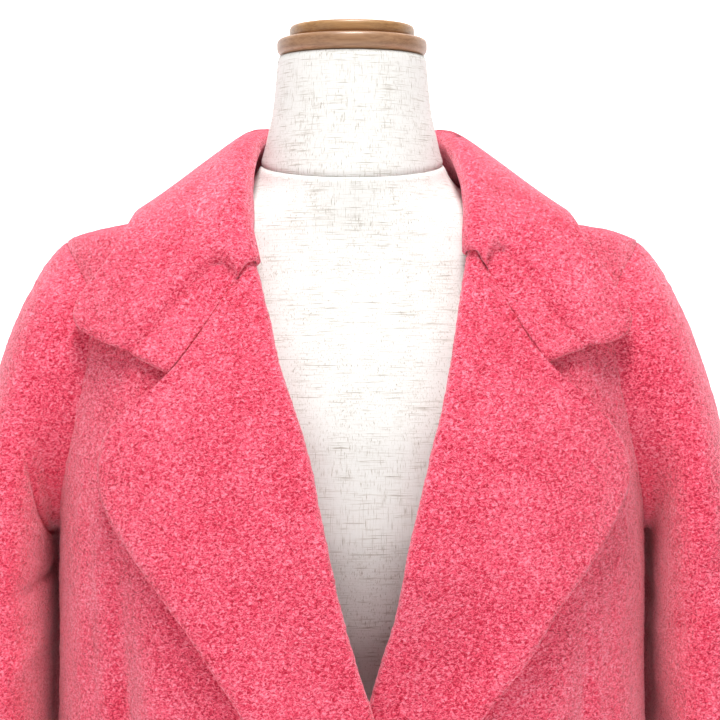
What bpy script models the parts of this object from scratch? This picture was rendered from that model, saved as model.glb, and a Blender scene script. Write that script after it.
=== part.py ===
"""Wide-lapelled wool jacket on a limbless dress form with a low round stand.

Metres, +Z up. The front of the garment faces -Y and the wearer's left is +X.
The origin is the centre of the stand's underside.
"""
import math

import bmesh
import bpy
import numpy as np

# ---------------------------------------------------------------- driving dimensions
PANEL_WALL = 0.0030          # heavy looped wool cloth
SLEEVE_WALL = 0.0028
LAPEL_WALL = 0.0045          # two layers sewn together
COLLAR_WALL = 0.0045
STAND_WALL = 0.0032
SEAM_GAP = 0.0003

HEM = 0.215                  # heights above the table
UNDERARM = 0.6613
SHOULDER_TIP = 0.8626
NECKLINE = 0.903
BREAK = 0.370                # where the lapels start to turn back
OVERLAP = 0.070              # how far each front passes the centre
ARMHOLE_FRONT = 0.060        # how far the armhole reaches forward and back
ARMHOLE_BACK = 0.072
ARMHOLE_MIDDLE = (UNDERARM + SHOULDER_TIP) / 2
ARMHOLE_HALF = (SHOULDER_TIP - UNDERARM) / 2

ROLL_RADIUS = 0.0055         # outer radius of the turned-back fold
ROLL_CENTRE = ROLL_RADIUS - PANEL_WALL
LAPEL_LIE = LAPEL_WALL + 0.0007
LAPEL_TAIL = 0.030           # the lapel ends this far above the break
ROLL_GAP = 0.0008

NECK_TOP = 0.9917
CAP_HEIGHTS = (0.992, 1.0042, 1.0135)
CAP_RADII = (0.0525, 0.0436)
TORSO_BOTTOM = 0.300
POLE_RADIUS = 0.0160
BASE_RADIUS = 0.140
BASE_THICKNESS = 0.020
BUTTON_RADIUS = 0.0145
BUTTON_THICKNESS = 0.0050


def columns(names, *rows):
    """A table with named columns."""
    return dict(zip(names.split(), np.array(rows).T))


# Horizontal sections of the body cloth, hem first.
BODY = columns(
    "height half_width front_depth back_depth squareness",
    (0.215, 0.2140, 0.150, 0.148, 2.25),
    (0.300, 0.2100, 0.150, 0.145, 2.28),
    (0.400, 0.2060, 0.148, 0.138, 2.32),
    (0.500, 0.2040, 0.145, 0.130, 2.38),
    (0.580, 0.2030, 0.142, 0.126, 2.45),
    (0.640, 0.2030, 0.138, 0.124, 2.50),
    (0.700, 0.2030, 0.128, 0.126, 2.50),
    (0.760, 0.2030, 0.112, 0.126, 2.40),
    (0.810, 0.2040, 0.093, 0.120, 2.30),
    (0.840, 0.2040, 0.080, 0.110, 2.20),
    (0.852, 0.2030, 0.076, 0.105, 2.15),
    (SHOULDER_TIP, 0.1990, 0.072, 0.100, 2.10),
    (0.8695, 0.1830, 0.069, 0.097, 2.10),
    (0.8765, 0.1500, 0.066, 0.092, 2.05),
    (0.890, 0.1150, 0.063, 0.086, 2.00),
    (0.9025, 0.0880, 0.061, 0.081, 2.00),
    (0.911, 0.0690, 0.060, 0.077, 2.00))

# Rings of a sleeve from the armhole to the cuff, given by the ends of their long axis.
SLEEVE = columns(
    "way inner_x inner_z outer_x outer_z half_depth",
    (0.00, 0.2030, 0.6616, 0.1993, 0.8625, 0.066),
    (0.06, 0.2045, 0.6630, 0.2090, 0.8545, 0.066),
    (0.14, 0.2062, 0.6632, 0.2180, 0.8390, 0.066),
    (0.22, 0.2075, 0.6625, 0.2300, 0.8170, 0.068),
    (0.30, 0.2083, 0.6610, 0.2420, 0.7860, 0.070),
    (0.38, 0.2085, 0.6560, 0.2525, 0.7520, 0.073),
    (0.46, 0.2085, 0.6450, 0.2610, 0.7150, 0.075),
    (0.54, 0.2085, 0.6250, 0.2670, 0.6730, 0.077),
    (0.62, 0.2090, 0.5900, 0.2705, 0.6150, 0.077),
    (0.70, 0.2095, 0.5400, 0.2735, 0.5500, 0.076),
    (0.80, 0.2120, 0.4600, 0.2775, 0.4620, 0.072),
    (0.90, 0.2150, 0.3700, 0.2800, 0.3710, 0.067),
    (1.00, 0.2175, 0.2850, 0.2820, 0.2850, 0.062))
SLEEVE_BLEND = 0.14
SLEEVE_SETTLED = 0.45        # from here on front and back halves are equally deep
SLEEVE_ROUNDNESS = 2.2
SLEEVE_TUCK = 0.014          # how far its inner back turns in behind the body
TUCK_BEGINS, TUCK_FULL = 0.010, 0.055

# Roll lines and outer edges of the lapels, seen from the front, from the gorge down.
ROLL_RIGHT = columns(
    "across height",
    (-0.0636, 0.8442), (-0.0586, 0.8239), (-0.0537, 0.8058), (-0.0465, 0.7760),
    (-0.0366, 0.7460), (-0.0280, 0.7182), (-0.0198, 0.6790), (-0.0123, 0.6464),
    (-0.0045, 0.6125), (0.0071, 0.5728), (0.0151, 0.5491), (0.0420, 0.4650),
    (OVERLAP, BREAK))
ROLL_LEFT = columns(
    "across height",
    (0.0771, 0.8518), (0.0742, 0.8361), (0.0711, 0.8166), (0.0652, 0.7800),
    (0.0594, 0.7499), (0.0516, 0.7201), (0.0441, 0.6860), (0.0355, 0.6508),
    (0.0276, 0.6109), (0.0191, 0.5830), (0.0115, 0.5590), (-0.0330, 0.4600),
    (-OVERLAP, BREAK))
EDGE_RIGHT = columns(
    "across height",
    (-0.1186, 0.7668), (-0.1342, 0.7538), (-0.1559, 0.7329), (-0.1626, 0.7084),
    (-0.1585, 0.6829), (-0.1428, 0.6562), (-0.1216, 0.6272), (-0.1000, 0.5975),
    (-0.0787, 0.5653), (-0.0676, 0.5489), (-0.0250, 0.4880), (0.0260, 0.4240),
    (OVERLAP, BREAK))
EDGE_LEFT = columns(
    "across height",
    (0.1275, 0.7734), (0.1466, 0.7572), (0.1693, 0.7340), (0.1796, 0.7038),
    (0.1698, 0.6749), (0.1498, 0.6416), (0.1340, 0.6213), (0.1108, 0.5836),
    (0.0956, 0.5636), (0.0851, 0.5491), (0.0380, 0.4860), (-0.0200, 0.4240),
    (-OVERLAP, BREAK))

# The collar's free edge on the body cloth, from the notch to the centre of the back.
COLLAR_EDGE_RIGHT = columns(
    "across height behind",
    (-0.1186, 0.7700, 0), (-0.1310, 0.7762, 0), (-0.1490, 0.7848, 0),
    (-0.1665, 0.7925, 0), (-0.1785, 0.8020, 0), (-0.1825, 0.8130, 0),
    (-0.1785, 0.8250, 0), (-0.1706, 0.8365, 0), (-0.1610, 0.8490, 0),
    (-0.1510, 0.8615, 0), (-0.1465, 0.8730, 0), (-0.1440, 0.8783, 0),
    (-0.1425, 0.8750, 1), (-0.1385, 0.8670, 1), (-0.1180, 0.8600, 1), (-0.0800, 0.8560, 1), (-0.0400, 0.8550, 1),
    (0.0000, 0.8550, 1))
COLLAR_EDGE_LEFT = columns(
    "across height behind",
    (0.1275, 0.7768, 0), (0.1390, 0.7825, 0), (0.1600, 0.7880, 0),
    (0.1720, 0.7915, 0), (0.1788, 0.7985, 0), (0.1812, 0.8100, 0),
    (0.1765, 0.8245, 0), (0.1700, 0.8375, 0), (0.1615, 0.8510, 0),
    (0.1525, 0.8625, 0), (0.1470, 0.8730, 0), (0.1440, 0.8783, 0),
    (0.1425, 0.8750, 1), (0.1385, 0.8670, 1), (0.1180, 0.8600, 1), (0.0800, 0.8560, 1), (0.0400, 0.8550, 1),
    (0.0000, 0.8550, 1))

# The middle of the collar's rolled fold, and the way up from it.
COLLAR_FOLD_RIGHT = columns(
    "x y z up_y up_z",
    (-0.0722, -0.0800, 0.8465, -0.95, 0.30), (-0.0748, -0.0760, 0.8620, -0.85, 0.52),
    (-0.0768, -0.0650, 0.8820, -0.70, 0.71), (-0.0760, -0.0480, 0.9010, -0.50, 0.87),
    (-0.0735, -0.0220, 0.9180, -0.25, 0.97), (-0.0695, 0.0100, 0.9310, 0.00, 1.00),
    (-0.0605, 0.0440, 0.9375, 0.10, 1.00), (-0.0320, 0.0665, 0.9405, 0.15, 1.00),
    (0.0000, 0.0740, 0.9415, 0.15, 1.00))
COLLAR_FOLD_LEFT = columns(
    "x y z up_y up_z",
    (0.0835, -0.0770, 0.8530, -0.93, 0.35), (0.0832, -0.0720, 0.8670, -0.82, 0.57),
    (0.0838, -0.0610, 0.8800, -0.68, 0.73), (0.0830, -0.0470, 0.8950, -0.50, 0.87),
    (0.0790, -0.0220, 0.9130, -0.25, 0.97), (0.0725, 0.0100, 0.9285, 0.00, 1.00),
    (0.0605, 0.0440, 0.9370, 0.10, 1.00), (0.0320, 0.0665, 0.9405, 0.15, 1.00),
    (0.0000, 0.0740, 0.9415, 0.15, 1.00))
CORNER_WAY = 0.28            # the collar's corner among the rows of its edge table
CORNER_RISE = 0.0040         # how far it stands off the shoulder
COLLAR_LIFT = 0.0022         # how far its free edge lies off the cloth under it
FALL_BULGE = 0.028           # the fall's roundness below the fold
COLLAR_BLEND = 0.16          # the part of the collar that takes over the lapel's lie

# How far the lower front is tucked in under the upper one.
TUCK = columns(
    "height depth",
    (0.215, 0.0045), (0.300, 0.0055), (0.370, 0.0145), (0.570, 0.0145), (0.640, 0.0))
TUCK_EDGES = (0.050, 0.125)  # full nearer the centre than the first, none past the second

# Large soft folds of the body cloth: turn round the body, heights, width and depth.
FOLDS = columns(
    "turn_top turn_bottom top bottom half_width depth",
    (-46.0, -43.0, 0.70, 0.16, 0.019, -0.0070),
    (-34.0, -33.0, 0.66, 0.16, 0.016, 0.0035),
    (47.0, 45.0, 0.66, 0.16, 0.020, -0.0055),
    (-150.0, -147.0, 0.78, 0.16, 0.024, -0.0065),
    (149.0, 151.0, 0.80, 0.16, 0.022, -0.0070),
    (-172.0, -176.0, 0.66, 0.16, 0.024, 0.0045),
    (128.0, 126.0, 0.64, 0.16, 0.022, 0.0040))

# The dress form, bottom first. Tilt raises the back of a ring above its front.
TORSO = columns(
    "height tilt half_width front_depth back_depth squareness",
    (0.3000, 0.00, 0.1380, 0.084, 0.096, 2.1),
    (0.3060, 0.00, 0.1450, 0.090, 0.102, 2.1),
    (0.3600, 0.00, 0.1560, 0.098, 0.108, 2.1),
    (0.4200, 0.00, 0.1480, 0.092, 0.096, 2.1),
    (0.4900, 0.00, 0.1240, 0.084, 0.078, 2.1),
    (0.5500, 0.00, 0.1240, 0.090, 0.078, 2.1),
    (0.6100, 0.00, 0.1380, 0.106, 0.086, 2.15),
    (0.6650, 0.00, 0.1480, 0.117, 0.094, 2.2),
    (0.7200, 0.00, 0.1530, 0.113, 0.101, 2.2),
    (0.7800, 0.00, 0.1570, 0.096, 0.104, 2.2),
    (0.8200, 0.01, 0.1600, 0.080, 0.100, 2.2),
    (0.8480, 0.03, 0.1600, 0.070, 0.092, 2.2),
    (0.8660, 0.06, 0.1500, 0.0655, 0.084, 2.1),
    (0.8820, 0.09, 0.1150, 0.0635, 0.072, 2.0),
    (0.8960, 0.12, 0.0800, 0.0625, 0.064, 2.0),
    (0.9080, 0.17, 0.0682, 0.0618, 0.063, 2.0),
    (0.9165, 0.21, 0.0642, 0.0615, 0.063, 2.0))
NECK = columns(
    "height tilt half_width front_depth back_depth squareness",
    (0.9168, 0.21, 0.0642, 0.0615, 0.063, 2.0),
    (0.9260, 0.17, 0.0615, 0.0595, 0.060, 2.0),
    (0.9375, 0.12, 0.0588, 0.0572, 0.058, 2.0),
    (0.9536, 0.06, 0.0555, 0.0548, 0.055, 2.0),
    (0.9700, 0.02, 0.0537, 0.0530, 0.053, 2.0),
    (NECK_TOP, 0.00, 0.0518, 0.0512, 0.0512, 2.0))

# Counts of spaces between mesh lines.
ROWS_BELOW_BREAK = 4
ROWS_TO_UNDERARM = 7
ROWS_OVER_SHOULDER = 4
SLEEVE_COLUMNS = 16          # half of them meet the rows of the panels' armholes
FRONT_COLUMNS = 11
BACK_COLUMNS = 18
SLEEVE_ROWS = 20
COLLAR_STATIONS = (0.003, 0.05, 0.10, 0.145, 0.18, 0.21, 0.245, 0.29, 0.36, 0.43, 0.50, 0.58,
                   0.68, 0.78, 0.89, 1.0)
FLAT_STEPS = 7
ROUND_STEPS = 24

COLLECTION = "jacket_on_dress_form"


# ---------------------------------------------------------------- curves and tables
def hermite(keys, values, slopes, at):
    """Piecewise cubic through values at keys with the given slopes."""
    at = np.clip(at, keys[0], keys[-1])
    cell = np.clip(np.searchsorted(keys, at, side="right") - 1, 0, len(keys) - 2)
    width = np.diff(keys)[cell]
    t = (at - keys[cell]) / width
    start, end = values[cell], values[cell + 1]
    return (start + (end - start) * t * t * (3 - 2 * t)
            + slopes[cell] * width * t * (1 - t) ** 2
            - slopes[cell + 1] * width * t * t * (1 - t))


def steady(keys, values, at):
    """A smooth curve through a table that never overshoots its rows."""
    rise = np.diff(values) / np.diff(keys)
    slopes = np.zeros(len(keys))
    slopes[0], slopes[-1] = rise[0], rise[-1]
    before, after = rise[:-1], rise[1:]
    same = before * after > 0
    total = np.where(same, before + after, 1.0)
    slopes[1:-1] = np.where(same, 2 * before * after / total, 0.0)
    return hermite(keys, values, slopes, at)


def row_at(table, key, at):
    """Every other column of a table at one key value."""
    return {name: steady(table[key], table[name], at) for name in table if name != key}


def along(points, share, axes=3):
    """Rows at shares of a curve's length, which the first axes of its points measure."""
    reach = np.linalg.norm(np.diff(points[:, :axes], axis=0), axis=1)
    keys = np.concatenate(([0.0], np.cumsum(reach)))
    keys /= keys[-1]
    out = []
    for values in points.T:
        slopes = np.gradient(values, keys)
        out.append(hermite(keys, values, slopes, share))
    return np.stack(out, axis=-1)


def ease(low, high, at):
    """0 below low, 1 above high, smooth between."""
    t = np.clip((at - low) / (high - low), 0, 1)
    return t * t * (3 - 2 * t)


def unit(vectors):
    return vectors / np.maximum(np.linalg.norm(vectors, axis=-1, keepdims=True), 1e-12)


# ---------------------------------------------------------------- the body cloth
def section(height):
    return row_at(BODY, "height", height)


def body_from_turn(turn, height):
    """Point of the body cloth at a turn from the front centre, positive to +X."""
    row = section(height)
    power = 2 / row["squareness"]
    side, front = np.sin(turn), np.cos(turn)
    depth = np.where(front > 0, -row["front_depth"], row["back_depth"])
    x = row["half_width"] * np.sign(side) * np.abs(side) ** power
    y = depth * np.abs(front) ** power
    return np.stack([x, y, height + 0 * x], axis=-1)


def turn_at_across(across, height):
    """Turn in the front half where the cloth is this far from the middle plane."""
    row = section(height)
    share = np.clip(np.abs(across) / row["half_width"], 0, 1)
    return np.sign(across) * np.arcsin(share ** (row["squareness"] / 2))


def turn_at_depth(depth, height, behind):
    """Turn where the cloth is this far in front of, or behind, the side plane."""
    row = section(height)
    full = row["back_depth"] if behind else row["front_depth"]
    turn = np.arccos(np.clip(depth / full, 0, 1) ** (row["squareness"] / 2))
    return math.pi - turn if behind else turn


def body_normal(points):
    """Outward direction of the body cloth at points on or near it."""
    x, y, height = points[..., 0], points[..., 1], points[..., 2]
    step = 0.0005
    row, above = section(height), section(height + step)
    depth = np.where(y < 0, row["front_depth"], row["back_depth"])
    depth_above = np.where(y < 0, above["front_depth"], above["back_depth"])
    n, width = row["squareness"], row["half_width"]
    over, deep = np.abs(x) / width, np.abs(y) / depth
    slope = (over ** n * (above["half_width"] - width) / width
             + deep ** n * (depth_above - depth) / depth) / step
    return unit(np.stack([np.sign(x) * over ** (n - 1) / width,
                          np.sign(y) * deep ** (n - 1) / depth, -slope], axis=-1))


def body_distance(points):
    """Distance of points outside the body cloth, true close to it."""
    x, y, height = points[..., 0], points[..., 1], points[..., 2]
    row = section(height)
    depth = np.where(y < 0, row["front_depth"], row["back_depth"])
    n = row["squareness"]
    level = ((np.abs(x) / row["half_width"]) ** n + (np.abs(y) / depth) ** n) ** (1 / n)
    flat = np.sqrt(x * x + y * y)
    normal = body_normal(points)
    radial = (x * normal[..., 0] + y * normal[..., 1]) / np.maximum(flat, 1e-6)
    return (level - 1) * flat / np.maximum(level, 0.2) * radial


def on_body(across, height, behind=0, out=0.0):
    """Point of the body cloth seen from the front or behind, moved out."""
    row = section(height)
    share = np.clip(np.abs(across) / row["half_width"], 0, 1)
    level = (1 - share ** row["squareness"]) ** (1 / row["squareness"])
    y = np.where(behind > 0.5, row["back_depth"], -row["front_depth"]) * level
    points = np.stack([across + 0 * y, y, height + 0 * y], axis=-1)
    return points + np.expand_dims(out + 0 * y, -1) * body_normal(points)


def folds(points):
    """How far the large folds move the body cloth outward."""
    x, y, height = points[..., 0], points[..., 1], points[..., 2]
    moved = np.zeros_like(x)
    for top, bottom, high, low, half_width, depth in zip(*FOLDS.values()):
        share = np.clip((high - height) / (high - low), 0, 1)
        turn = np.radians(top + (bottom - top) * share)
        line = body_from_turn(turn, height)
        away = np.hypot(x - line[..., 0], y - line[..., 1]) / (half_width * (0.6 + 0.6 * share))
        moved += depth * np.exp(-away ** 2) * ease(high, high - 0.16, height)
    return moved


def tuck(points):
    """How far the wearer's left front lies inside the right one."""
    depth = steady(TUCK["height"], TUCK["depth"], points[..., 2])
    return depth * (1 - ease(*TUCK_EDGES, points[..., 0]))


def armhole_depth(height, behind):
    """How far the armhole edge is from the side plane at a height."""
    share = np.clip(1 - ((height - ARMHOLE_MIDDLE) / ARMHOLE_HALF) ** 2, 0, 1)
    return (ARMHOLE_BACK if behind else ARMHOLE_FRONT) * np.sqrt(share)


# ---------------------------------------------------------------- the lapels
def front_edge(roll, height, side):
    """Across-value of a front's inner edge: straight below the break, then the roll line."""
    rolled = along(np.stack([roll["across"], roll["height"]], axis=-1), np.linspace(0, 1, 60))
    inset = ROLL_RADIUS + ROLL_GAP
    tangent = unit(np.gradient(rolled, axis=0))
    outward = np.stack([-tangent[:, 1], tangent[:, 0]], axis=-1)
    outward *= np.sign(outward[:, :1]) * side
    rolled = rolled + outward * inset
    rolled = rolled[rolled[:, 1] > BREAK + 0.6 * LAPEL_TAIL]
    neck = (side * (abs(roll["across"][0]) + 0.0125), NECKLINE)
    straight = np.array([(-side * OVERLAP, HEM - 0.02), (-side * OVERLAP, BREAK)])
    line = np.concatenate([straight, rolled[::-1], [neck]])
    return np.interp(height, line[:, 1], line[:, 0])


def lapel_surface(path, way, roll, edge, side):
    """Visible face of a lapel: path 0 to 1 round the fold, 1 to 2 out to the edge."""
    roll_line = np.stack([roll["across"], roll["height"]], axis=-1)
    edge_line = np.stack([edge["across"], edge["height"]], axis=-1)
    start = along(roll_line, way)
    end = along(edge_line, way)
    step = 0.002
    tangent = unit(along(roll_line, np.minimum(way + step, 1))
                   - along(roll_line, np.maximum(way - step, 0)))
    outward = np.stack([-tangent[..., 1], tangent[..., 0]], axis=-1)
    outward = outward * np.sign(outward[..., :1]) * side
    swing = math.pi * (1.5 - np.clip(path, 0, 1))
    inset = ROLL_RADIUS + ROLL_RADIUS * np.cos(swing)
    rise = ROLL_CENTRE + ROLL_RADIUS * np.sin(swing)
    flat = np.clip(path - 1, 0, 1)
    seat = start + outward * np.expand_dims(inset, -1)
    across = seat + (end - seat) * np.expand_dims(flat, -1)
    gone = np.linalg.norm(end - seat, axis=-1) * flat
    left = np.linalg.norm(end - seat, axis=-1) * (1 - flat)
    lie = (LAPEL_LIE + (ROLL_CENTRE + ROLL_RADIUS - LAPEL_LIE) * np.exp(-gone / 0.025)
           + 0.0025 * np.exp(-left / 0.030) * (1 - np.exp(-gone / 0.025)))
    out = np.where(path < 1, rise, lie)
    points = on_body(across[..., 0], across[..., 1])
    if side > 0:
        out = out - tuck(points)
    return points + np.expand_dims(out, -1) * body_normal(points)


def lapel_wall(path):
    """Thickness of a lapel along its path."""
    return PANEL_WALL + (LAPEL_WALL - PANEL_WALL) * ease(0.6, 1.3, path)


# ---------------------------------------------------------------- the collar
def collar_surface(path, way, roll, edge, side, fold, free):
    """Visible face of half the collar: stand and fold for path 0 to 1, fall for 1 to 2."""
    fold_line = np.stack([fold[name] for name in ("x", "y", "z", "up_y", "up_z")], axis=-1)
    centre = along(fold_line, way)[..., :3]
    step = 0.004
    run = unit((along(fold_line, np.minimum(way + step, 1))
                - along(fold_line, np.maximum(way - step, 0)))[..., :3])
    run[..., 0] = np.where(way > 1 - step, -side, run[..., 0])
    run[..., 1:] = np.where(np.expand_dims(way > 1 - step, -1), 0, run[..., 1:])
    lift = along(fold_line, way)[..., 2:] * np.array([0, 1, 1])
    lift = unit(lift - run * np.sum(lift * run, axis=-1, keepdims=True))
    outward = unit(np.cross(run, lift)) * side

    swing = math.pi * (1 - 0.5 * np.clip(2 * path - 1, 0, 1))
    turned = (centre + outward * np.expand_dims(ROLL_RADIUS * np.cos(swing), -1)
              + lift * np.expand_dims(ROLL_RADIUS * np.sin(swing), -1))
    seam = neck_seam(way, roll, side)
    share = np.expand_dims(np.clip(2 * path, 0, 1), -1)
    stand = seam + (centre - outward * ROLL_RADIUS - seam) * share
    inner = np.where(np.expand_dims(path < 0.5, -1), stand, turned)

    top = centre + lift * ROLL_RADIUS
    keys = np.linspace(0, 1, len(free["across"]))
    raised = LAPEL_LIE + COLLAR_LIFT + CORNER_RISE * np.exp(-((keys - CORNER_WAY) / 0.10) ** 2)
    free_line = on_body(free["across"], free["height"], free["behind"], raised)
    end = along(free_line, way)
    chord = end - top
    length = np.linalg.norm(chord, axis=-1, keepdims=True)
    t = np.expand_dims(np.clip(path - 1, 0, 1), -1)
    fall = (top + chord * t * t * (3 - 2 * t)
            + outward * np.minimum(0.30 * length, FALL_BULGE) * t * (1 - t) ** 2
            - chord * t * t * (1 - t))
    lie = LAPEL_LIE + COLLAR_LIFT * t[..., 0]
    for _ in range(3):
        short = np.maximum(lie - body_distance(fall), 0)
        fall = fall + np.expand_dims(short, -1) * body_normal(fall)
    shaped = np.where(np.expand_dims(path < 1, -1), inner, fall)

    lapel = lapel_surface(path, 0 * way, roll, edge, side)
    blend = np.expand_dims(ease(0, COLLAR_BLEND, way), -1)
    edge_shift = end - lapel_surface(0 * way + 2, 0 * way, roll, edge, side)
    fold_shift = centre - along(fold_line, 0 * way)[..., :3]
    start = lapel + fold_shift + (edge_shift - fold_shift) * t
    return start + (shaped - start) * blend


def neck_seam(way, roll, side):
    """Where the collar stand meets the body cloth, just inside its neck edge."""
    heights = np.linspace(roll["height"][0], NECKLINE, 8)
    front = on_body(front_edge(roll, heights, side), heights)
    turns = np.linspace(turn_at_across(front[-1, 0] * side, NECKLINE), math.pi, 14)[1:]
    ring = body_from_turn(turns * side, np.full(len(turns), NECKLINE))
    line = np.concatenate([front, ring])
    inward = -unit(line * np.array([1, 1, 0]))
    shift = STAND_WALL + 0.0022
    return along(line + inward * shift + np.array([0, 0, 0.001]), way)


def collar_wall(path):
    """Thickness of the collar along its path."""
    return STAND_WALL + (COLLAR_WALL - STAND_WALL) * ease(0.6, 1.3, path)


# ---------------------------------------------------------------- the sleeves
def armhole_ring(around, side):
    """Armhole edge on the body cloth, from the shoulder tip forward and round."""
    height = ARMHOLE_MIDDLE + ARMHOLE_HALF * np.cos(around)
    forward = np.sin(around) > 0
    depth = np.abs(np.sin(around)) * np.where(forward, ARMHOLE_FRONT, ARMHOLE_BACK)
    row = section(height)
    full = np.where(forward, row["front_depth"], row["back_depth"])
    n = row["squareness"]
    x = side * row["half_width"] * (1 - (depth / full) ** n) ** (1 / n)
    return np.stack([x, np.where(forward, -depth, depth), height], axis=-1)


def sleeve_surface(way, around, side):
    """Outer face of a sleeve, from the armhole at way 0 to the cuff at way 1."""
    row = row_at(SLEEVE, "way", way)
    settled = ease(0, SLEEVE_SETTLED, way)
    power = 2 / (2 + (SLEEVE_ROUNDNESS - 2) * settled)
    tall = np.sign(np.cos(around)) * np.abs(np.cos(around)) ** power
    deep = -np.sign(np.sin(around)) * np.abs(np.sin(around)) ** power
    x = (row["inner_x"] + row["outer_x"]) / 2 + (row["outer_x"] - row["inner_x"]) / 2 * tall
    z = (row["inner_z"] + row["outer_z"]) / 2 + (row["outer_z"] - row["inner_z"]) / 2 * tall
    hole_depth = np.where(deep < 0, ARMHOLE_FRONT, ARMHOLE_BACK)
    depth = hole_depth + (row["half_depth"] - hole_depth) * settled
    x = x - SLEEVE_TUCK * settled * (1 - tall) / 2 * ease(TUCK_BEGINS, TUCK_FULL, depth * deep)
    ring = np.stack([side * x, depth * deep, z], axis=-1)
    hole = armhole_ring(around, side)
    step = 0.01
    run = armhole_ring(around + step, side) - armhole_ring(around - step, side)
    hole = hole + unit(np.cross(body_normal(hole), run)) * side * SEAM_GAP * 1.6
    blend = np.expand_dims(ease(0, SLEEVE_BLEND, way), -1)
    return hole + (ring - hole) * blend


# ---------------------------------------------------------------- walls between two faces
def face_normal(surface, first, second, step=0.0015):
    """Unit normal of a surface of two parameters, from nearby points."""
    a = surface(first + step, second) - surface(first - step, second)
    b = surface(first, second + step) - surface(first, second - step)
    return unit(np.cross(a, b))


def wall_object(name, outer, inner, material, closed=False):
    """A closed wall from two grids of points, rows by columns."""
    rows, count = outer.shape[:2]
    points = np.concatenate([outer.reshape(-1, 3), inner.reshape(-1, 3)])
    spans = count if closed else count - 1
    faces = []

    def outer_at(r, c):
        return r * count + c % count

    def inner_at(r, c):
        return rows * count + r * count + c % count

    for r in range(rows - 1):
        for c in range(spans):
            faces.append((outer_at(r, c), outer_at(r, c + 1),
                          outer_at(r + 1, c + 1), outer_at(r + 1, c)))
            faces.append((inner_at(r, c), inner_at(r + 1, c),
                          inner_at(r + 1, c + 1), inner_at(r, c + 1)))
    for c in range(spans):
        faces.append((outer_at(0, c), inner_at(0, c), inner_at(0, c + 1), outer_at(0, c + 1)))
        last = rows - 1
        faces.append((outer_at(last, c), outer_at(last, c + 1),
                      inner_at(last, c + 1), inner_at(last, c)))
    if not closed:
        for r in range(rows - 1):
            faces.append((outer_at(r, 0), outer_at(r + 1, 0), inner_at(r + 1, 0), inner_at(r, 0)))
            last = count - 1
            faces.append((outer_at(r, last), inner_at(r, last),
                          inner_at(r + 1, last), outer_at(r + 1, last)))
    return mesh_object(name, points, faces, material)


def mesh_object(name, points, faces, material):
    """An object from points and faces, its faces turned outward."""
    mesh = bpy.data.meshes.new(name)
    mesh.from_pydata([tuple(p) for p in points], [], faces)
    shape = bmesh.new()
    shape.from_mesh(mesh)
    bmesh.ops.recalc_face_normals(shape, faces=shape.faces)
    shape.to_mesh(mesh)
    shape.free()
    mesh.shade_smooth()
    thing = bpy.data.objects.new(name, mesh)
    return finish(thing, material)


def finish(thing, material):
    """Give an object its material and put it in the collection."""
    thing.data.materials.append(material)
    for collection in thing.users_collection:
        collection.objects.unlink(thing)
    bpy.data.collections[COLLECTION].objects.link(thing)
    return thing


# ---------------------------------------------------------------- garment pieces
def panel_heights():
    """Row heights of the body panels, hem first."""
    around = np.linspace(math.pi, 0, SLEEVE_COLUMNS // 2 + 1)
    armhole = ARMHOLE_MIDDLE + ARMHOLE_HALF * np.cos(around)
    return np.concatenate([
        np.linspace(HEM, BREAK, ROWS_BELOW_BREAK + 1)[:-1],
        [BREAK], np.linspace(BREAK + LAPEL_TAIL, UNDERARM, ROWS_TO_UNDERARM + 1)[:-1],
        armhole, np.linspace(SHOULDER_TIP, NECKLINE, ROWS_OVER_SHOULDER + 1)[1:]])


def side_turn(height, behind):
    """Turn of a panel's side edge: side seam, armhole or shoulder seam."""
    depth = np.maximum(armhole_depth(height, behind), SEAM_GAP / 2)
    return turn_at_depth(depth, height, behind)


def make_front(name, roll, side, material):
    """Front panel from the side seam to the roll line and front edge."""
    heights = np.repeat(panel_heights()[:, None], FRONT_COLUMNS + 1, axis=1)
    inner = turn_at_across(front_edge(roll, heights[:, 0], side), heights[:, 0])
    outer = side * side_turn(heights[:, 0], behind=False)
    share = np.linspace(0, 1, FRONT_COLUMNS + 1)
    turns = inner[:, None] + (outer - inner)[:, None] * share
    points = body_from_turn(turns, heights)
    normal = body_normal(points)
    moved = folds(points)
    if side > 0:
        moved = moved - tuck(points)
    face = points + normal * moved[..., None]
    return wall_object(name, face, face - normal * PANEL_WALL, material)


def make_back(material):
    """Back panel from side seam to side seam."""
    heights = np.repeat(panel_heights()[:, None], BACK_COLUMNS + 1, axis=1)
    side = side_turn(heights[:, 0], behind=True)
    share = np.linspace(0, 1, BACK_COLUMNS + 1)
    turns = side[:, None] + (2 * math.pi - 2 * side)[:, None] * share
    points = body_from_turn(turns, heights)
    normal = body_normal(points)
    face = points + normal * folds(points)[..., None]
    return wall_object("back", face, face - normal * PANEL_WALL, material)


def make_sleeve(name, side, material):
    """Sleeve tube, open at the armhole and the cuff."""
    ways = np.linspace(0, 1, SLEEVE_ROWS + 1)[:, None]
    around = np.linspace(0, 2 * math.pi, SLEEVE_COLUMNS, endpoint=False)[None, :]
    ways, around = np.broadcast_arrays(ways, around)
    face = sleeve_surface(ways, around, side)
    own = face_normal(lambda w, a: sleeve_surface(w, a, side), ways, around)
    centre = face.mean(axis=1, keepdims=True)
    own = own * np.sign(np.sum(own[-1:] * (face - centre)[-1:], axis=-1, keepdims=True).mean())
    seam = body_normal(armhole_ring(around, side))
    blend = ease(0, 0.07, ways)[..., None]
    normal = unit(seam + (own - seam) * blend)
    return wall_object(name, face, face - normal * SLEEVE_WALL, material, closed=True)


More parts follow.
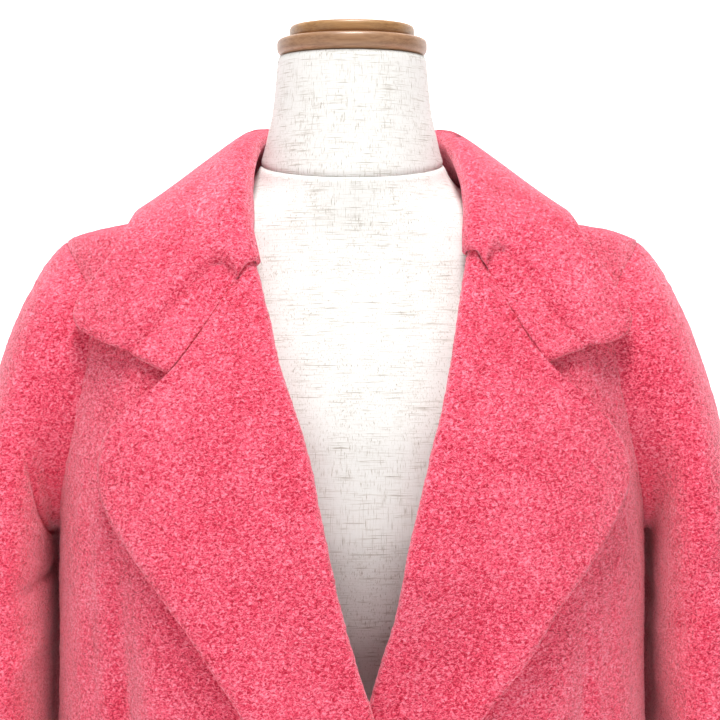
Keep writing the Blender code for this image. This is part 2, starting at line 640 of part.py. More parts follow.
def lapel_stations(roll):
    """Ways down a lapel that meet the rows of its front panel, and ways between them."""
    ways = np.linspace(0, 1, 200)
    heights = along(np.stack([roll["across"], roll["height"]], axis=-1), ways)[:, 1]
    met = np.interp(-panel_heights()[::-1], -heights, ways)
    tail = np.interp(-(BREAK + LAPEL_TAIL), -heights, ways)
    met = met[(met > 0.03) & (met < tail - 0.02)]
    upper = met[met < 0.4]
    between = (upper[1:] + upper[:-1]) / 2
    return np.sort(np.concatenate([[0.0, tail], met, between]))


def turned_piece(name, surface, wall, stations, flatten, material, side):
    """A piece with a rolled fold: walls follow its visible face."""
    paths = np.concatenate([np.linspace(0, 1, 5), 1 + np.linspace(0, 1, FLAT_STEPS + 1)[1:]])
    path, way = np.meshgrid(paths, np.array(stations))
    face = surface(path, way)
    normal = face_normal(surface, path, way) * side
    lying = ease(1.0, 1.3, path) * flatten(way)
    normal = unit(normal + (body_normal(face) - normal) * lying[..., None])
    inner = face - normal * wall(path)[..., None]
    return wall_object(name, face, inner, material)


def make_lapel(name, roll, edge, side, material):
    """Turned-back lapel over its front panel."""
    def surface(path, way):
        return lapel_surface(path, way, roll, edge, side)
    return turned_piece(name, surface, lapel_wall, lapel_stations(roll), np.ones_like,
                        material, -side)


def make_collar(material):
    """Collar stand and fall in one piece, from notch to notch round the neck."""
    def surface(path, way):
        left = collar_surface(path, np.clip(way, 0, 1), ROLL_RIGHT, EDGE_RIGHT, -1,
                              COLLAR_FOLD_RIGHT, COLLAR_EDGE_RIGHT)
        right = collar_surface(path, np.clip(2 - way, 0, 1), ROLL_LEFT, EDGE_LEFT, 1,
                               COLLAR_FOLD_LEFT, COLLAR_EDGE_LEFT)
        return np.where(np.expand_dims(way <= 1, -1), left, right)
    stations = list(COLLAR_STATIONS) + [2 - s for s in reversed(COLLAR_STATIONS[:-1])]

    def by_the_gorge(way):
        return 1 - ease(0.0, COLLAR_BLEND, np.minimum(way, 2 - way))
    return turned_piece("collar", surface, collar_wall, stations, by_the_gorge, material, 1)


def make_button(material):
    """Round button with a raised rim, just under the break."""
    middle = on_body(np.array(OVERLAP - 0.028), np.array(BREAK - 0.030), 0, 0.0008)
    normal = body_normal(middle)
    rim, dish = BUTTON_RADIUS * 0.78, BUTTON_THICKNESS * 0.62
    profile = [(0.0, dish), (rim, dish), (rim + 0.0009, BUTTON_THICKNESS),
               (BUTTON_RADIUS - 0.0009, BUTTON_THICKNESS), (BUTTON_RADIUS, 0.0036),
               (BUTTON_RADIUS, 0.0012), (BUTTON_RADIUS - 0.0012, 0.0), (0.0, 0.0)]
    button = turned("button", profile, ROUND_STEPS, material)
    button.location = middle
    button.rotation_euler = (math.atan2(-normal[1], normal[2]), 0, 0)
    return button


# ---------------------------------------------------------------- form and stand
def ring_points(row, turns):
    """A ring of the dress form."""
    power = 2 / row["squareness"]
    side, front = np.sin(turns), np.cos(turns)
    depth = np.where(front > 0, -row["front_depth"], row["back_depth"])
    x = row["half_width"] * np.sign(side) * np.abs(side) ** power
    y = depth * np.abs(front) ** power
    return np.stack([x, y, row["height"] + row["tilt"] * y], axis=-1)


def make_form(name, table, material, steps):
    """Closed solid through the rings of a table."""
    turns = np.linspace(0, 2 * math.pi, ROUND_STEPS, endpoint=False)
    heights = np.interp(np.linspace(0, len(table["height"]) - 1, steps + 1),
                        np.arange(len(table["height"])), table["height"])
    rings = []
    for height in heights:
        row = row_at(table, "height", height)
        row["height"] = height
        rings.append(ring_points(row, turns))
    points = np.concatenate(rings)
    count = len(turns)
    faces = [tuple(range(count))[::-1], tuple(range(steps * count, (steps + 1) * count))]
    for r in range(steps):
        for c in range(count):
            d = (c + 1) % count
            faces.append((r * count + c, r * count + d, (r + 1) * count + d, (r + 1) * count + c))
    return mesh_object(name, points, faces, material)


def turned(name, profile, steps, material):
    """A turned solid from its (radius, height) profile, listed from the top down."""
    mesh = bpy.data.meshes.new(name)
    edges = [(i, i + 1) for i in range(len(profile) - 1)]
    mesh.from_pydata([(radius, 0, height) for radius, height in profile], edges, [])
    thing = bpy.data.objects.new(name, mesh)
    screw = thing.modifiers.new("turned", "SCREW")
    screw.steps = steps
    screw.render_steps = steps
    screw.use_merge_vertices = True
    screw.merge_threshold = 0.00001
    screw.use_smooth_shade = True
    return finish(thing, material)


def disc_profile(bottom, top, radius, rounding):
    """Profile of a round plate with rounded edges, top centre first."""
    corner = [math.radians(a) for a in (90, 60, 30, 0)]
    upper = [(radius - rounding + rounding * math.cos(a), top - rounding + rounding * math.sin(a))
             for a in corner]
    lower = [(radius - rounding + rounding * math.cos(a), bottom + rounding - rounding * math.sin(a))
             for a in reversed(corner)]
    return [(0.0, top)] + upper + lower + [(0.0, bottom)]


def make_caps(lower_wood, upper_wood):
    """Two wooden discs on the neck."""
    low, middle, high = CAP_HEIGHTS
    turned("cap_lower", disc_profile(low, middle, CAP_RADII[0], 0.0040), 32, lower_wood)
    turned("cap_upper", disc_profile(middle + SEAM_GAP, high, CAP_RADII[1], 0.0040), 32, upper_wood)


def make_stand(metal):
    """Round weighted base and pole."""
    base = [(0.0, BASE_THICKNESS), (0.030, BASE_THICKNESS), (0.036, BASE_THICKNESS - 0.003),
            (BASE_RADIUS - 0.016, 0.0125), (BASE_RADIUS - 0.005, 0.0105), (BASE_RADIUS, 0.0065),
            (BASE_RADIUS, 0.0012), (BASE_RADIUS - 0.0012, 0.0), (0.0, 0.0)]
    turned("base", base, 40, metal)
    bottom, top = BASE_THICKNESS + SEAM_GAP, TORSO_BOTTOM - SEAM_GAP
    bpy.ops.mesh.primitive_cylinder_add(vertices=24, radius=POLE_RADIUS, depth=top - bottom,
                                        location=(0, 0, (top + bottom) / 2))
    pole = bpy.context.object
    pole.name = pole.data.name = "pole"
    pole.data.shade_smooth()
    pole.data.set_sharp_from_angle(angle=math.radians(40))
    finish(pole, metal)


# ---------------------------------------------------------------- materials and assembly
def material(name, colour, roughness, metallic=0.0):
    made = bpy.data.materials.new(name)
    made.use_nodes = True
    shader = made.node_tree.nodes["Principled BSDF"]
    shader.inputs["Base Color"].default_value = (*colour, 1)
    shader.inputs["Roughness"].default_value = roughness
    shader.inputs["Metallic"].default_value = metallic
    return made


def clear_scene():
    for thing in list(bpy.data.objects):
        bpy.data.objects.remove(thing, do_unlink=True)


def main():
    clear_scene()
    collection = bpy.data.collections.new(COLLECTION)
    bpy.context.scene.collection.children.link(collection)

    wool = material("pink_wool", (0.80, 0.10, 0.17), 0.95)
    linen = material("linen", (0.72, 0.68, 0.60), 0.90)
    wood = material("wood", (0.42, 0.22, 0.10), 0.55)
    golden = material("golden_wood", (0.55, 0.30, 0.12), 0.50)
    metal = material("painted_metal", (0.60, 0.58, 0.55), 0.40, 0.2)
    shell = material("button_plastic", (0.62, 0.10, 0.16), 0.35)

    make_back(wool)
    make_front("front_right", ROLL_RIGHT, -1, wool)
    make_front("front_left", ROLL_LEFT, 1, wool)
    make_lapel("lapel_right", ROLL_RIGHT, EDGE_RIGHT, -1, wool)
    make_lapel("lapel_left", ROLL_LEFT, EDGE_LEFT, 1, wool)
    make_collar(wool)
    make_sleeve("sleeve_right", -1, wool)
    make_sleeve("sleeve_left", 1, wool)
    make_button(shell)

    make_form("form_torso", TORSO, linen, 22)
    make_form("form_neck", NECK, linen, 6)
    make_caps(wood, golden)
    make_stand(metal)


main()
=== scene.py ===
"""Studio picture of the pink looped-wool jacket on its limbless dress form.

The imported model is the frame. Its driving dimensions and tables are repeated here, and each
cloth piece is laid over its solid from the same curves, finer and with its creases and nap.
Metres, +Z up. The front faces -Y and the wearer's left is +X.
"""
import math

import bmesh
import bpy
import numpy as np

from mathutils import Matrix, Vector

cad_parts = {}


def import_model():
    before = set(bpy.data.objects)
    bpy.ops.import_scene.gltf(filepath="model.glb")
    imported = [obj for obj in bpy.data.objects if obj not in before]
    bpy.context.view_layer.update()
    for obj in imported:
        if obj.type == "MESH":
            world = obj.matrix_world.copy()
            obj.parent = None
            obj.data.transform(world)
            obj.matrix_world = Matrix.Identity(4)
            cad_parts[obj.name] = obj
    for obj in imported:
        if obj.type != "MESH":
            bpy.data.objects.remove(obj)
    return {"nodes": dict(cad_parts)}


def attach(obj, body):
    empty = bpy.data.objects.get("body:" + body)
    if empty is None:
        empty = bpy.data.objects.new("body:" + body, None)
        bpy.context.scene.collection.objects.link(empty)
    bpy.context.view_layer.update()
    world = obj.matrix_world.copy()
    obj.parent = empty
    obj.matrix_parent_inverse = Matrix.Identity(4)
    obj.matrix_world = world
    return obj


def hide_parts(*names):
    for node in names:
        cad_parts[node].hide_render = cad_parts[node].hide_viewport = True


# ---------------------------------------------------------------- driving dimensions
PANEL_WALL = 0.0030          # heavy looped wool cloth
SLEEVE_WALL = 0.0028
LAPEL_WALL = 0.0045          # two layers sewn together
COLLAR_WALL = 0.0045
STAND_WALL = 0.0032
SEAM_GAP = 0.0003

HEM = 0.215                  # heights above the table
UNDERARM = 0.6613
SHOULDER_TIP = 0.8626
NECKLINE = 0.903
BREAK = 0.370                # where the lapels start to turn back
OVERLAP = 0.070              # how far each front passes the centre
ARMHOLE_FRONT = 0.060        # how far the armhole reaches forward and back
ARMHOLE_BACK = 0.072
ARMHOLE_MIDDLE = (UNDERARM + SHOULDER_TIP) / 2
ARMHOLE_HALF = (SHOULDER_TIP - UNDERARM) / 2

ROLL_RADIUS = 0.0055         # outer radius of the turned-back fold
ROLL_CENTRE = ROLL_RADIUS - PANEL_WALL
LAPEL_LIE = LAPEL_WALL + 0.0007
LAPEL_TAIL = 0.030           # the lapel ends this far above the break
ROLL_GAP = 0.0008
ROLL_EASE = 0.025            # cloth over which a lapel settles from its fold to the front
EDGE_SPRING = 0.0025         # how far its edge stands up, and over how much cloth
EDGE_EASE = 0.030
WALL_PATH = (0.6, 1.3)       # where lapel and collar grow to their full thickness
NECK_INSET = 0.0125          # a front's neck edge lies this far outside its roll line
STAND_SHIFT = STAND_WALL + 0.0022
STAND_RISE = 0.001           # how far the stand's seam is raised off the neck edge
FOLD_FADE = 0.16             # height over which a large fold sets in

NECK_TOP = 0.9917
CAP_HEIGHTS = (0.992, 1.0042, 1.0135)
CAP_RADII = (0.0525, 0.0436)
BUTTON_RADIUS = 0.0145
BUTTON_THICKNESS = 0.0050


def columns(names, *rows):
    """A table with named columns."""
    return dict(zip(names.split(), np.array(rows).T))


# Horizontal sections of the body cloth, hem first.
BODY = columns(
    "height half_width front_depth back_depth squareness",
    (0.215, 0.2140, 0.150, 0.148, 2.25),
    (0.300, 0.2100, 0.150, 0.145, 2.28),
    (0.400, 0.2060, 0.148, 0.138, 2.32),
    (0.500, 0.2040, 0.145, 0.130, 2.38),
    (0.580, 0.2030, 0.142, 0.126, 2.45),
    (0.640, 0.2030, 0.138, 0.124, 2.50),
    (0.700, 0.2030, 0.128, 0.126, 2.50),
    (0.760, 0.2030, 0.112, 0.126, 2.40),
    (0.810, 0.2040, 0.093, 0.120, 2.30),
    (0.840, 0.2040, 0.080, 0.110, 2.20),
    (0.852, 0.2030, 0.076, 0.105, 2.15),
    (SHOULDER_TIP, 0.1990, 0.072, 0.100, 2.10),
    (0.8695, 0.1830, 0.069, 0.097, 2.10),
    (0.8765, 0.1500, 0.066, 0.092, 2.05),
    (0.890, 0.1150, 0.063, 0.086, 2.00),
    (0.9025, 0.0880, 0.061, 0.081, 2.00),
    (0.911, 0.0690, 0.060, 0.077, 2.00))

# Rings of a sleeve from the armhole to the cuff, given by the ends of their long axis.
SLEEVE = columns(
    "way inner_x inner_z outer_x outer_z half_depth",
    (0.00, 0.2030, 0.6616, 0.1993, 0.8625, 0.066),
    (0.06, 0.2045, 0.6630, 0.2090, 0.8545, 0.066),
    (0.14, 0.2062, 0.6632, 0.2180, 0.8390, 0.066),
    (0.22, 0.2075, 0.6625, 0.2300, 0.8170, 0.068),
    (0.30, 0.2083, 0.6610, 0.2420, 0.7860, 0.070),
    (0.38, 0.2085, 0.6560, 0.2525, 0.7520, 0.073),
    (0.46, 0.2085, 0.6450, 0.2610, 0.7150, 0.075),
    (0.54, 0.2085, 0.6250, 0.2670, 0.6730, 0.077),
    (0.62, 0.2090, 0.5900, 0.2705, 0.6150, 0.077),
    (0.70, 0.2095, 0.5400, 0.2735, 0.5500, 0.076),
    (0.80, 0.2120, 0.4600, 0.2775, 0.4620, 0.072),
    (0.90, 0.2150, 0.3700, 0.2800, 0.3710, 0.067),
    (1.00, 0.2175, 0.2850, 0.2820, 0.2850, 0.062))
SLEEVE_BLEND = 0.14
SLEEVE_SETTLED = 0.45        # from here on front and back halves are equally deep
SLEEVE_ROUNDNESS = 2.2
SLEEVE_TUCK = 0.014          # how far its inner back turns in behind the body
TUCK_BEGINS, TUCK_FULL = 0.010, 0.055

# Roll lines and outer edges of the lapels, seen from the front, from the gorge down.
ROLL_RIGHT = columns(
    "across height",
    (-0.0636, 0.8442), (-0.0586, 0.8239), (-0.0537, 0.8058), (-0.0465, 0.7760),
    (-0.0366, 0.7460), (-0.0280, 0.7182), (-0.0198, 0.6790), (-0.0123, 0.6464),
    (-0.0045, 0.6125), (0.0071, 0.5728), (0.0151, 0.5491), (0.0420, 0.4650),
    (OVERLAP, BREAK))
ROLL_LEFT = columns(
    "across height",
    (0.0771, 0.8518), (0.0742, 0.8361), (0.0711, 0.8166), (0.0652, 0.7800),
    (0.0594, 0.7499), (0.0516, 0.7201), (0.0441, 0.6860), (0.0355, 0.6508),
    (0.0276, 0.6109), (0.0191, 0.5830), (0.0115, 0.5590), (-0.0330, 0.4600),
    (-OVERLAP, BREAK))
EDGE_RIGHT = columns(
    "across height",
    (-0.1186, 0.7668), (-0.1342, 0.7538), (-0.1559, 0.7329), (-0.1626, 0.7084),
    (-0.1585, 0.6829), (-0.1428, 0.6562), (-0.1216, 0.6272), (-0.1000, 0.5975),
    (-0.0787, 0.5653), (-0.0676, 0.5489), (-0.0250, 0.4880), (0.0260, 0.4240),
    (OVERLAP, BREAK))
EDGE_LEFT = columns(
    "across height",
    (0.1275, 0.7734), (0.1466, 0.7572), (0.1693, 0.7340), (0.1796, 0.7038),
    (0.1698, 0.6749), (0.1498, 0.6416), (0.1340, 0.6213), (0.1108, 0.5836),
    (0.0956, 0.5636), (0.0851, 0.5491), (0.0380, 0.4860), (-0.0200, 0.4240),
    (-OVERLAP, BREAK))

# The collar's free edge on the body cloth, from the notch to the centre of the back.
COLLAR_EDGE_RIGHT = columns(
    "across height behind",
    (-0.1186, 0.7700, 0), (-0.1310, 0.7762, 0), (-0.1490, 0.7848, 0),
    (-0.1665, 0.7925, 0), (-0.1785, 0.8020, 0), (-0.1825, 0.8130, 0),
    (-0.1785, 0.8250, 0), (-0.1706, 0.8365, 0), (-0.1610, 0.8490, 0),
    (-0.1510, 0.8615, 0), (-0.1465, 0.8730, 0), (-0.1440, 0.8783, 0),
    (-0.1425, 0.8750, 1), (-0.1385, 0.8670, 1), (-0.1180, 0.8600, 1),
    (-0.0800, 0.8560, 1), (-0.0400, 0.8550, 1), (0.0000, 0.8550, 1))
COLLAR_EDGE_LEFT = columns(
    "across height behind",
    (0.1275, 0.7768, 0), (0.1390, 0.7825, 0), (0.1600, 0.7880, 0),
    (0.1720, 0.7915, 0), (0.1788, 0.7985, 0), (0.1812, 0.8100, 0),
    (0.1765, 0.8245, 0), (0.1700, 0.8375, 0), (0.1615, 0.8510, 0),
    (0.1525, 0.8625, 0), (0.1470, 0.8730, 0), (0.1440, 0.8783, 0),
    (0.1425, 0.8750, 1), (0.1385, 0.8670, 1), (0.1180, 0.8600, 1),
    (0.0800, 0.8560, 1), (0.0400, 0.8550, 1), (0.0000, 0.8550, 1))

# The middle of the collar's rolled fold, and the way up from it.
COLLAR_FOLD_RIGHT = columns(
    "x y z up_y up_z",
    (-0.0722, -0.0800, 0.8465, -0.95, 0.30), (-0.0748, -0.0760, 0.8620, -0.85, 0.52),
    (-0.0768, -0.0650, 0.8820, -0.70, 0.71), (-0.0760, -0.0480, 0.9010, -0.50, 0.87),
    (-0.0735, -0.0220, 0.9180, -0.25, 0.97), (-0.0695, 0.0100, 0.9310, 0.00, 1.00),
    (-0.0605, 0.0440, 0.9375, 0.10, 1.00), (-0.0320, 0.0665, 0.9405, 0.15, 1.00),
    (0.0000, 0.0740, 0.9415, 0.15, 1.00))
COLLAR_FOLD_LEFT = columns(
    "x y z up_y up_z",
    (0.0835, -0.0770, 0.8530, -0.93, 0.35), (0.0832, -0.0720, 0.8670, -0.82, 0.57),
    (0.0838, -0.0610, 0.8800, -0.68, 0.73), (0.0830, -0.0470, 0.8950, -0.50, 0.87),
    (0.0790, -0.0220, 0.9130, -0.25, 0.97), (0.0725, 0.0100, 0.9285, 0.00, 1.00),
    (0.0605, 0.0440, 0.9370, 0.10, 1.00), (0.0320, 0.0665, 0.9405, 0.15, 1.00),
    (0.0000, 0.0740, 0.9415, 0.15, 1.00))
CORNER_WAY = 0.28            # the collar's corner among the rows of its edge table
CORNER_REACH = 0.10
CORNER_RISE = 0.0040         # how far it stands off the shoulder
COLLAR_LIFT = 0.0022         # how far its free edge lies off the cloth under it
FALL_BULGE = 0.028           # the fall's roundness below the fold
COLLAR_BLEND = 0.16          # the part of the collar that takes over the lapel's lie

# How far the lower front is tucked in under the upper one.
TUCK = columns(
    "height depth",
    (0.215, 0.0045), (0.300, 0.0055), (0.370, 0.0145), (0.570, 0.0145), (0.640, 0.0))
TUCK_EDGES = (0.050, 0.125)  # full nearer the centre than the first, none past the second

# Large soft folds of the body cloth: turn round the body, heights, width and depth.
FOLDS = columns(
    "turn_top turn_bottom top bottom half_width depth",
    (-46.0, -43.0, 0.70, 0.16, 0.019, -0.0070),
    (-34.0, -33.0, 0.66, 0.16, 0.016, 0.0035),
    (47.0, 45.0, 0.66, 0.16, 0.020, -0.0055),
    (-150.0, -147.0, 0.78, 0.16, 0.024, -0.0065),
    (149.0, 151.0, 0.80, 0.16, 0.022, -0.0070),
    (-172.0, -176.0, 0.66, 0.16, 0.024, 0.0045),
    (128.0, 126.0, 0.64, 0.16, 0.022, 0.0040))

# The dress form, bottom first. Tilt raises the back of a ring above its front.
TORSO = columns(
    "height tilt half_width front_depth back_depth squareness",
    (0.3000, 0.00, 0.1380, 0.084, 0.096, 2.1),
    (0.3060, 0.00, 0.1450, 0.090, 0.102, 2.1),
    (0.3600, 0.00, 0.1560, 0.098, 0.108, 2.1),
    (0.4200, 0.00, 0.1480, 0.092, 0.096, 2.1),
    (0.4900, 0.00, 0.1240, 0.084, 0.078, 2.1),
    (0.5500, 0.00, 0.1240, 0.090, 0.078, 2.1),
    (0.6100, 0.00, 0.1380, 0.106, 0.086, 2.15),
    (0.6650, 0.00, 0.1480, 0.117, 0.094, 2.2),
    (0.7200, 0.00, 0.1530, 0.113, 0.101, 2.2),
    (0.7800, 0.00, 0.1570, 0.096, 0.104, 2.2),
    (0.8200, 0.01, 0.1600, 0.080, 0.100, 2.2),
    (0.8480, 0.03, 0.1600, 0.070, 0.092, 2.2),
    (0.8660, 0.06, 0.1500, 0.0655, 0.084, 2.1),
    (0.8820, 0.09, 0.1150, 0.0635, 0.072, 2.0),
    (0.8960, 0.12, 0.0800, 0.0625, 0.064, 2.0),
    (0.9080, 0.17, 0.0682, 0.0618, 0.063, 2.0),
    (0.9165, 0.21, 0.0642, 0.0615, 0.063, 2.0))
NECK = columns(
    "height tilt half_width front_depth back_depth squareness",
    (0.9168, 0.21, 0.0642, 0.0615, 0.063, 2.0),
    (0.9260, 0.17, 0.0615, 0.0595, 0.060, 2.0),
    (0.9375, 0.12, 0.0588, 0.0572, 0.058, 2.0),
    (0.9536, 0.06, 0.0555, 0.0548, 0.055, 2.0),
    (0.9700, 0.02, 0.0537, 0.0530, 0.053, 2.0),
    (NECK_TOP, 0.00, 0.0518, 0.0512, 0.0512, 2.0))


# ---------------------------------------------------------------- curves and tables
def hermite(keys, values, slopes, at):
    """Piecewise cubic through values at keys with the given slopes."""
    at = np.clip(at, keys[0], keys[-1])
    cell = np.clip(np.searchsorted(keys, at, side="right") - 1, 0, len(keys) - 2)
    width = np.diff(keys)[cell]
    t = (at - keys[cell]) / width
    start, end = values[cell], values[cell + 1]
    return (start + (end - start) * t * t * (3 - 2 * t)
            + slopes[cell] * width * t * (1 - t) ** 2
            - slopes[cell + 1] * width * t * t * (1 - t))


def steady(keys, values, at):
    """A smooth curve through a table that never overshoots its rows."""
    rise = np.diff(values) / np.diff(keys)
    slopes = np.zeros(len(keys))
    slopes[0], slopes[-1] = rise[0], rise[-1]
    before, after = rise[:-1], rise[1:]
    same = before * after > 0
    total = np.where(same, before + after, 1.0)
    slopes[1:-1] = np.where(same, 2 * before * after / total, 0.0)
    return hermite(keys, values, slopes, at)


def row_at(table, key, at):
    """Every other column of a table at one key value."""
    return {name: steady(table[key], table[name], at) for name in table if name != key}


def along(points, share, axes=3):
    """Rows at shares of a curve's length, which the first axes of its points measure."""
    reach = np.linalg.norm(np.diff(points[:, :axes], axis=0), axis=1)
    keys = np.concatenate(([0.0], np.cumsum(reach)))
    keys /= keys[-1]
    return np.stack([hermite(keys, values, np.gradient(values, keys), share)
                     for values in points.T], axis=-1)


def line_of(table, *names):
    """Points from some columns of a table."""
    return np.stack([table[name] for name in names], axis=-1)


def ease(low, high, at):
    """0 below low, 1 above high, smooth between."""
    t = np.clip((at - low) / (high - low), 0, 1)
    return t * t * (3 - 2 * t)


def unit(vectors):
    return vectors / np.maximum(np.linalg.norm(vectors, axis=-1, keepdims=True), 1e-12)


# ---------------------------------------------------------------- the body cloth
def section(height):
    return row_at(BODY, "height", height)


def ring(row, turn):
    """Places across and in depth on a section at a turn from the front centre."""
    power = 2 / row["squareness"]
    side, front = np.sin(turn), np.cos(turn)
    depth = np.where(front > 0, -row["front_depth"], row["back_depth"])
    return (row["half_width"] * np.sign(side) * np.abs(side) ** power,
            depth * np.abs(front) ** power)


def body_from_turn(turn, height):
    """Point of the body cloth at a turn from the front centre, positive to +X."""
    x, y = ring(section(height), turn)
    return np.stack([x, y, height + 0 * x], axis=-1)


def turn_at_across(across, height):
    """Turn in the front half where the cloth is this far from the middle plane."""
    row = section(height)
    share = np.clip(np.abs(across) / row["half_width"], 0, 1)
    return np.sign(across) * np.arcsin(share ** (row["squareness"] / 2))


def turn_at_depth(depth, height, behind):
    """Turn where the cloth is this far in front of, or behind, the side plane."""
    row = section(height)
    full = row["back_depth"] if behind else row["front_depth"]
    turn = np.arccos(np.clip(depth / full, 0, 1) ** (row["squareness"] / 2))
    return math.pi - turn if behind else turn


def body_normal(points):
    """Outward direction of the body cloth at points on or near it."""
    x, y, height = points[..., 0], points[..., 1], points[..., 2]
    step = 0.0005
    row, above = section(height), section(height + step)
    depth = np.where(y < 0, row["front_depth"], row["back_depth"])
    depth_above = np.where(y < 0, above["front_depth"], above["back_depth"])
    n, width = row["squareness"], row["half_width"]
    over, deep = np.abs(x) / width, np.abs(y) / depth
    slope = (over ** n * (above["half_width"] - width) / width
             + deep ** n * (depth_above - depth) / depth) / step
    return unit(np.stack([np.sign(x) * over ** (n - 1) / width,
                          np.sign(y) * deep ** (n - 1) / depth, -slope], axis=-1))


def body_distance(points):
    """Distance of points outside the body cloth, true close to it."""
    x, y, height = points[..., 0], points[..., 1], points[..., 2]
    row = section(height)
    depth = np.where(y < 0, row["front_depth"], row["back_depth"])
    n = row["squareness"]
    level = ((np.abs(x) / row["half_width"]) ** n + (np.abs(y) / depth) ** n) ** (1 / n)
    flat = np.sqrt(x * x + y * y)
    normal = body_normal(points)
    radial = (x * normal[..., 0] + y * normal[..., 1]) / np.maximum(flat, 1e-6)
    return (level - 1) * flat / np.maximum(level, 0.2) * radial


def on_body(across, height, behind=0, out=0.0):
    """Point of the body cloth seen from the front or behind, moved out."""
    row = section(height)
    share = np.clip(np.abs(across) / row["half_width"], 0, 1)
    level = (1 - share ** row["squareness"]) ** (1 / row["squareness"])
    y = np.where(behind > 0.5, row["back_depth"], -row["front_depth"]) * level
    points = np.stack([across + 0 * y, y, height + 0 * y], axis=-1)
    return points + np.expand_dims(out + 0 * y, -1) * body_normal(points)


def folds(points, table):
    """How far a table of upright folds moves the body cloth outward."""
    x, y, height = points[..., 0], points[..., 1], points[..., 2]
    moved = np.zeros_like(x)
    for top, bottom, high, low, half_width, depth in zip(*table.values()):
        share = np.clip((high - height) / (high - low), 0, 1)
        turn = np.radians(top + (bottom - top) * share)
        line = body_from_turn(turn, height)
        away = np.hypot(x - line[..., 0], y - line[..., 1]) / (half_width * (0.6 + 0.6 * share))
        moved += depth * np.exp(-away ** 2) * ease(high, high - FOLD_FADE, height)
    return moved


def tuck(points):
    """How far the wearer's left front lies inside the right one."""
    depth = steady(TUCK["height"], TUCK["depth"], points[..., 2])
    return depth * (1 - ease(*TUCK_EDGES, points[..., 0]))


def armhole_depth(height, behind):
    """How far the armhole edge is from the side plane at a height."""
    share = np.clip(1 - ((height - ARMHOLE_MIDDLE) / ARMHOLE_HALF) ** 2, 0, 1)
    return (ARMHOLE_BACK if behind else ARMHOLE_FRONT) * np.sqrt(share)


# ---------------------------------------------------------------- the lapels
def front_edge(roll, height, side):
    """Across-value of a front's inner edge: straight below the break, then the roll line."""
    rolled = along(line_of(roll, "across", "height"), np.linspace(0, 1, 60))
    inset = ROLL_RADIUS + ROLL_GAP
    tangent = unit(np.gradient(rolled, axis=0))
    outward = np.stack([-tangent[:, 1], tangent[:, 0]], axis=-1)
    outward *= np.sign(outward[:, :1]) * side
    rolled = rolled + outward * inset
    rolled = rolled[rolled[:, 1] > BREAK + 0.6 * LAPEL_TAIL]
    neck = (side * (abs(roll["across"][0]) + NECK_INSET), NECKLINE)
    straight = np.array([(-side * OVERLAP, HEM - 0.02), (-side * OVERLAP, BREAK)])
    line = np.concatenate([straight, rolled[::-1], [neck]])
    return np.interp(height, line[:, 1], line[:, 0])


def lapel_surface(path, way, roll, edge, side):
    """Visible face of a lapel: path 0 to 1 round the fold, 1 to 2 out to the edge."""
    roll_line = line_of(roll, "across", "height")
    start = along(roll_line, way)
    end = along(line_of(edge, "across", "height"), way)
    step = 0.002
    tangent = unit(along(roll_line, np.minimum(way + step, 1))
                   - along(roll_line, np.maximum(way - step, 0)))
    outward = np.stack([-tangent[..., 1], tangent[..., 0]], axis=-1)
    outward = outward * np.sign(outward[..., :1]) * side
    swing = math.pi * (1.5 - np.clip(path, 0, 1))
    inset = ROLL_RADIUS + ROLL_RADIUS * np.cos(swing)
    rise = ROLL_CENTRE + ROLL_RADIUS * np.sin(swing)
    flat = np.clip(path - 1, 0, 1)
    seat = start + outward * np.expand_dims(inset, -1)
    across = seat + (end - seat) * np.expand_dims(flat, -1)
    reach = np.linalg.norm(end - seat, axis=-1)
    rolling = np.exp(-reach * flat / ROLL_EASE)
    lie = (LAPEL_LIE + (ROLL_CENTRE + ROLL_RADIUS - LAPEL_LIE) * rolling
           + EDGE_SPRING * np.exp(-reach * (1 - flat) / EDGE_EASE) * (1 - rolling))
    out = np.where(path < 1, rise, lie)
    points = on_body(across[..., 0], across[..., 1])
    if side > 0:
        out = out - tuck(points)
    return points + np.expand_dims(out, -1) * body_normal(points)


def lapel_wall(path):
    """Thickness of a lapel along its path."""
    return PANEL_WALL + (LAPEL_WALL - PANEL_WALL) * ease(*WALL_PATH, path)


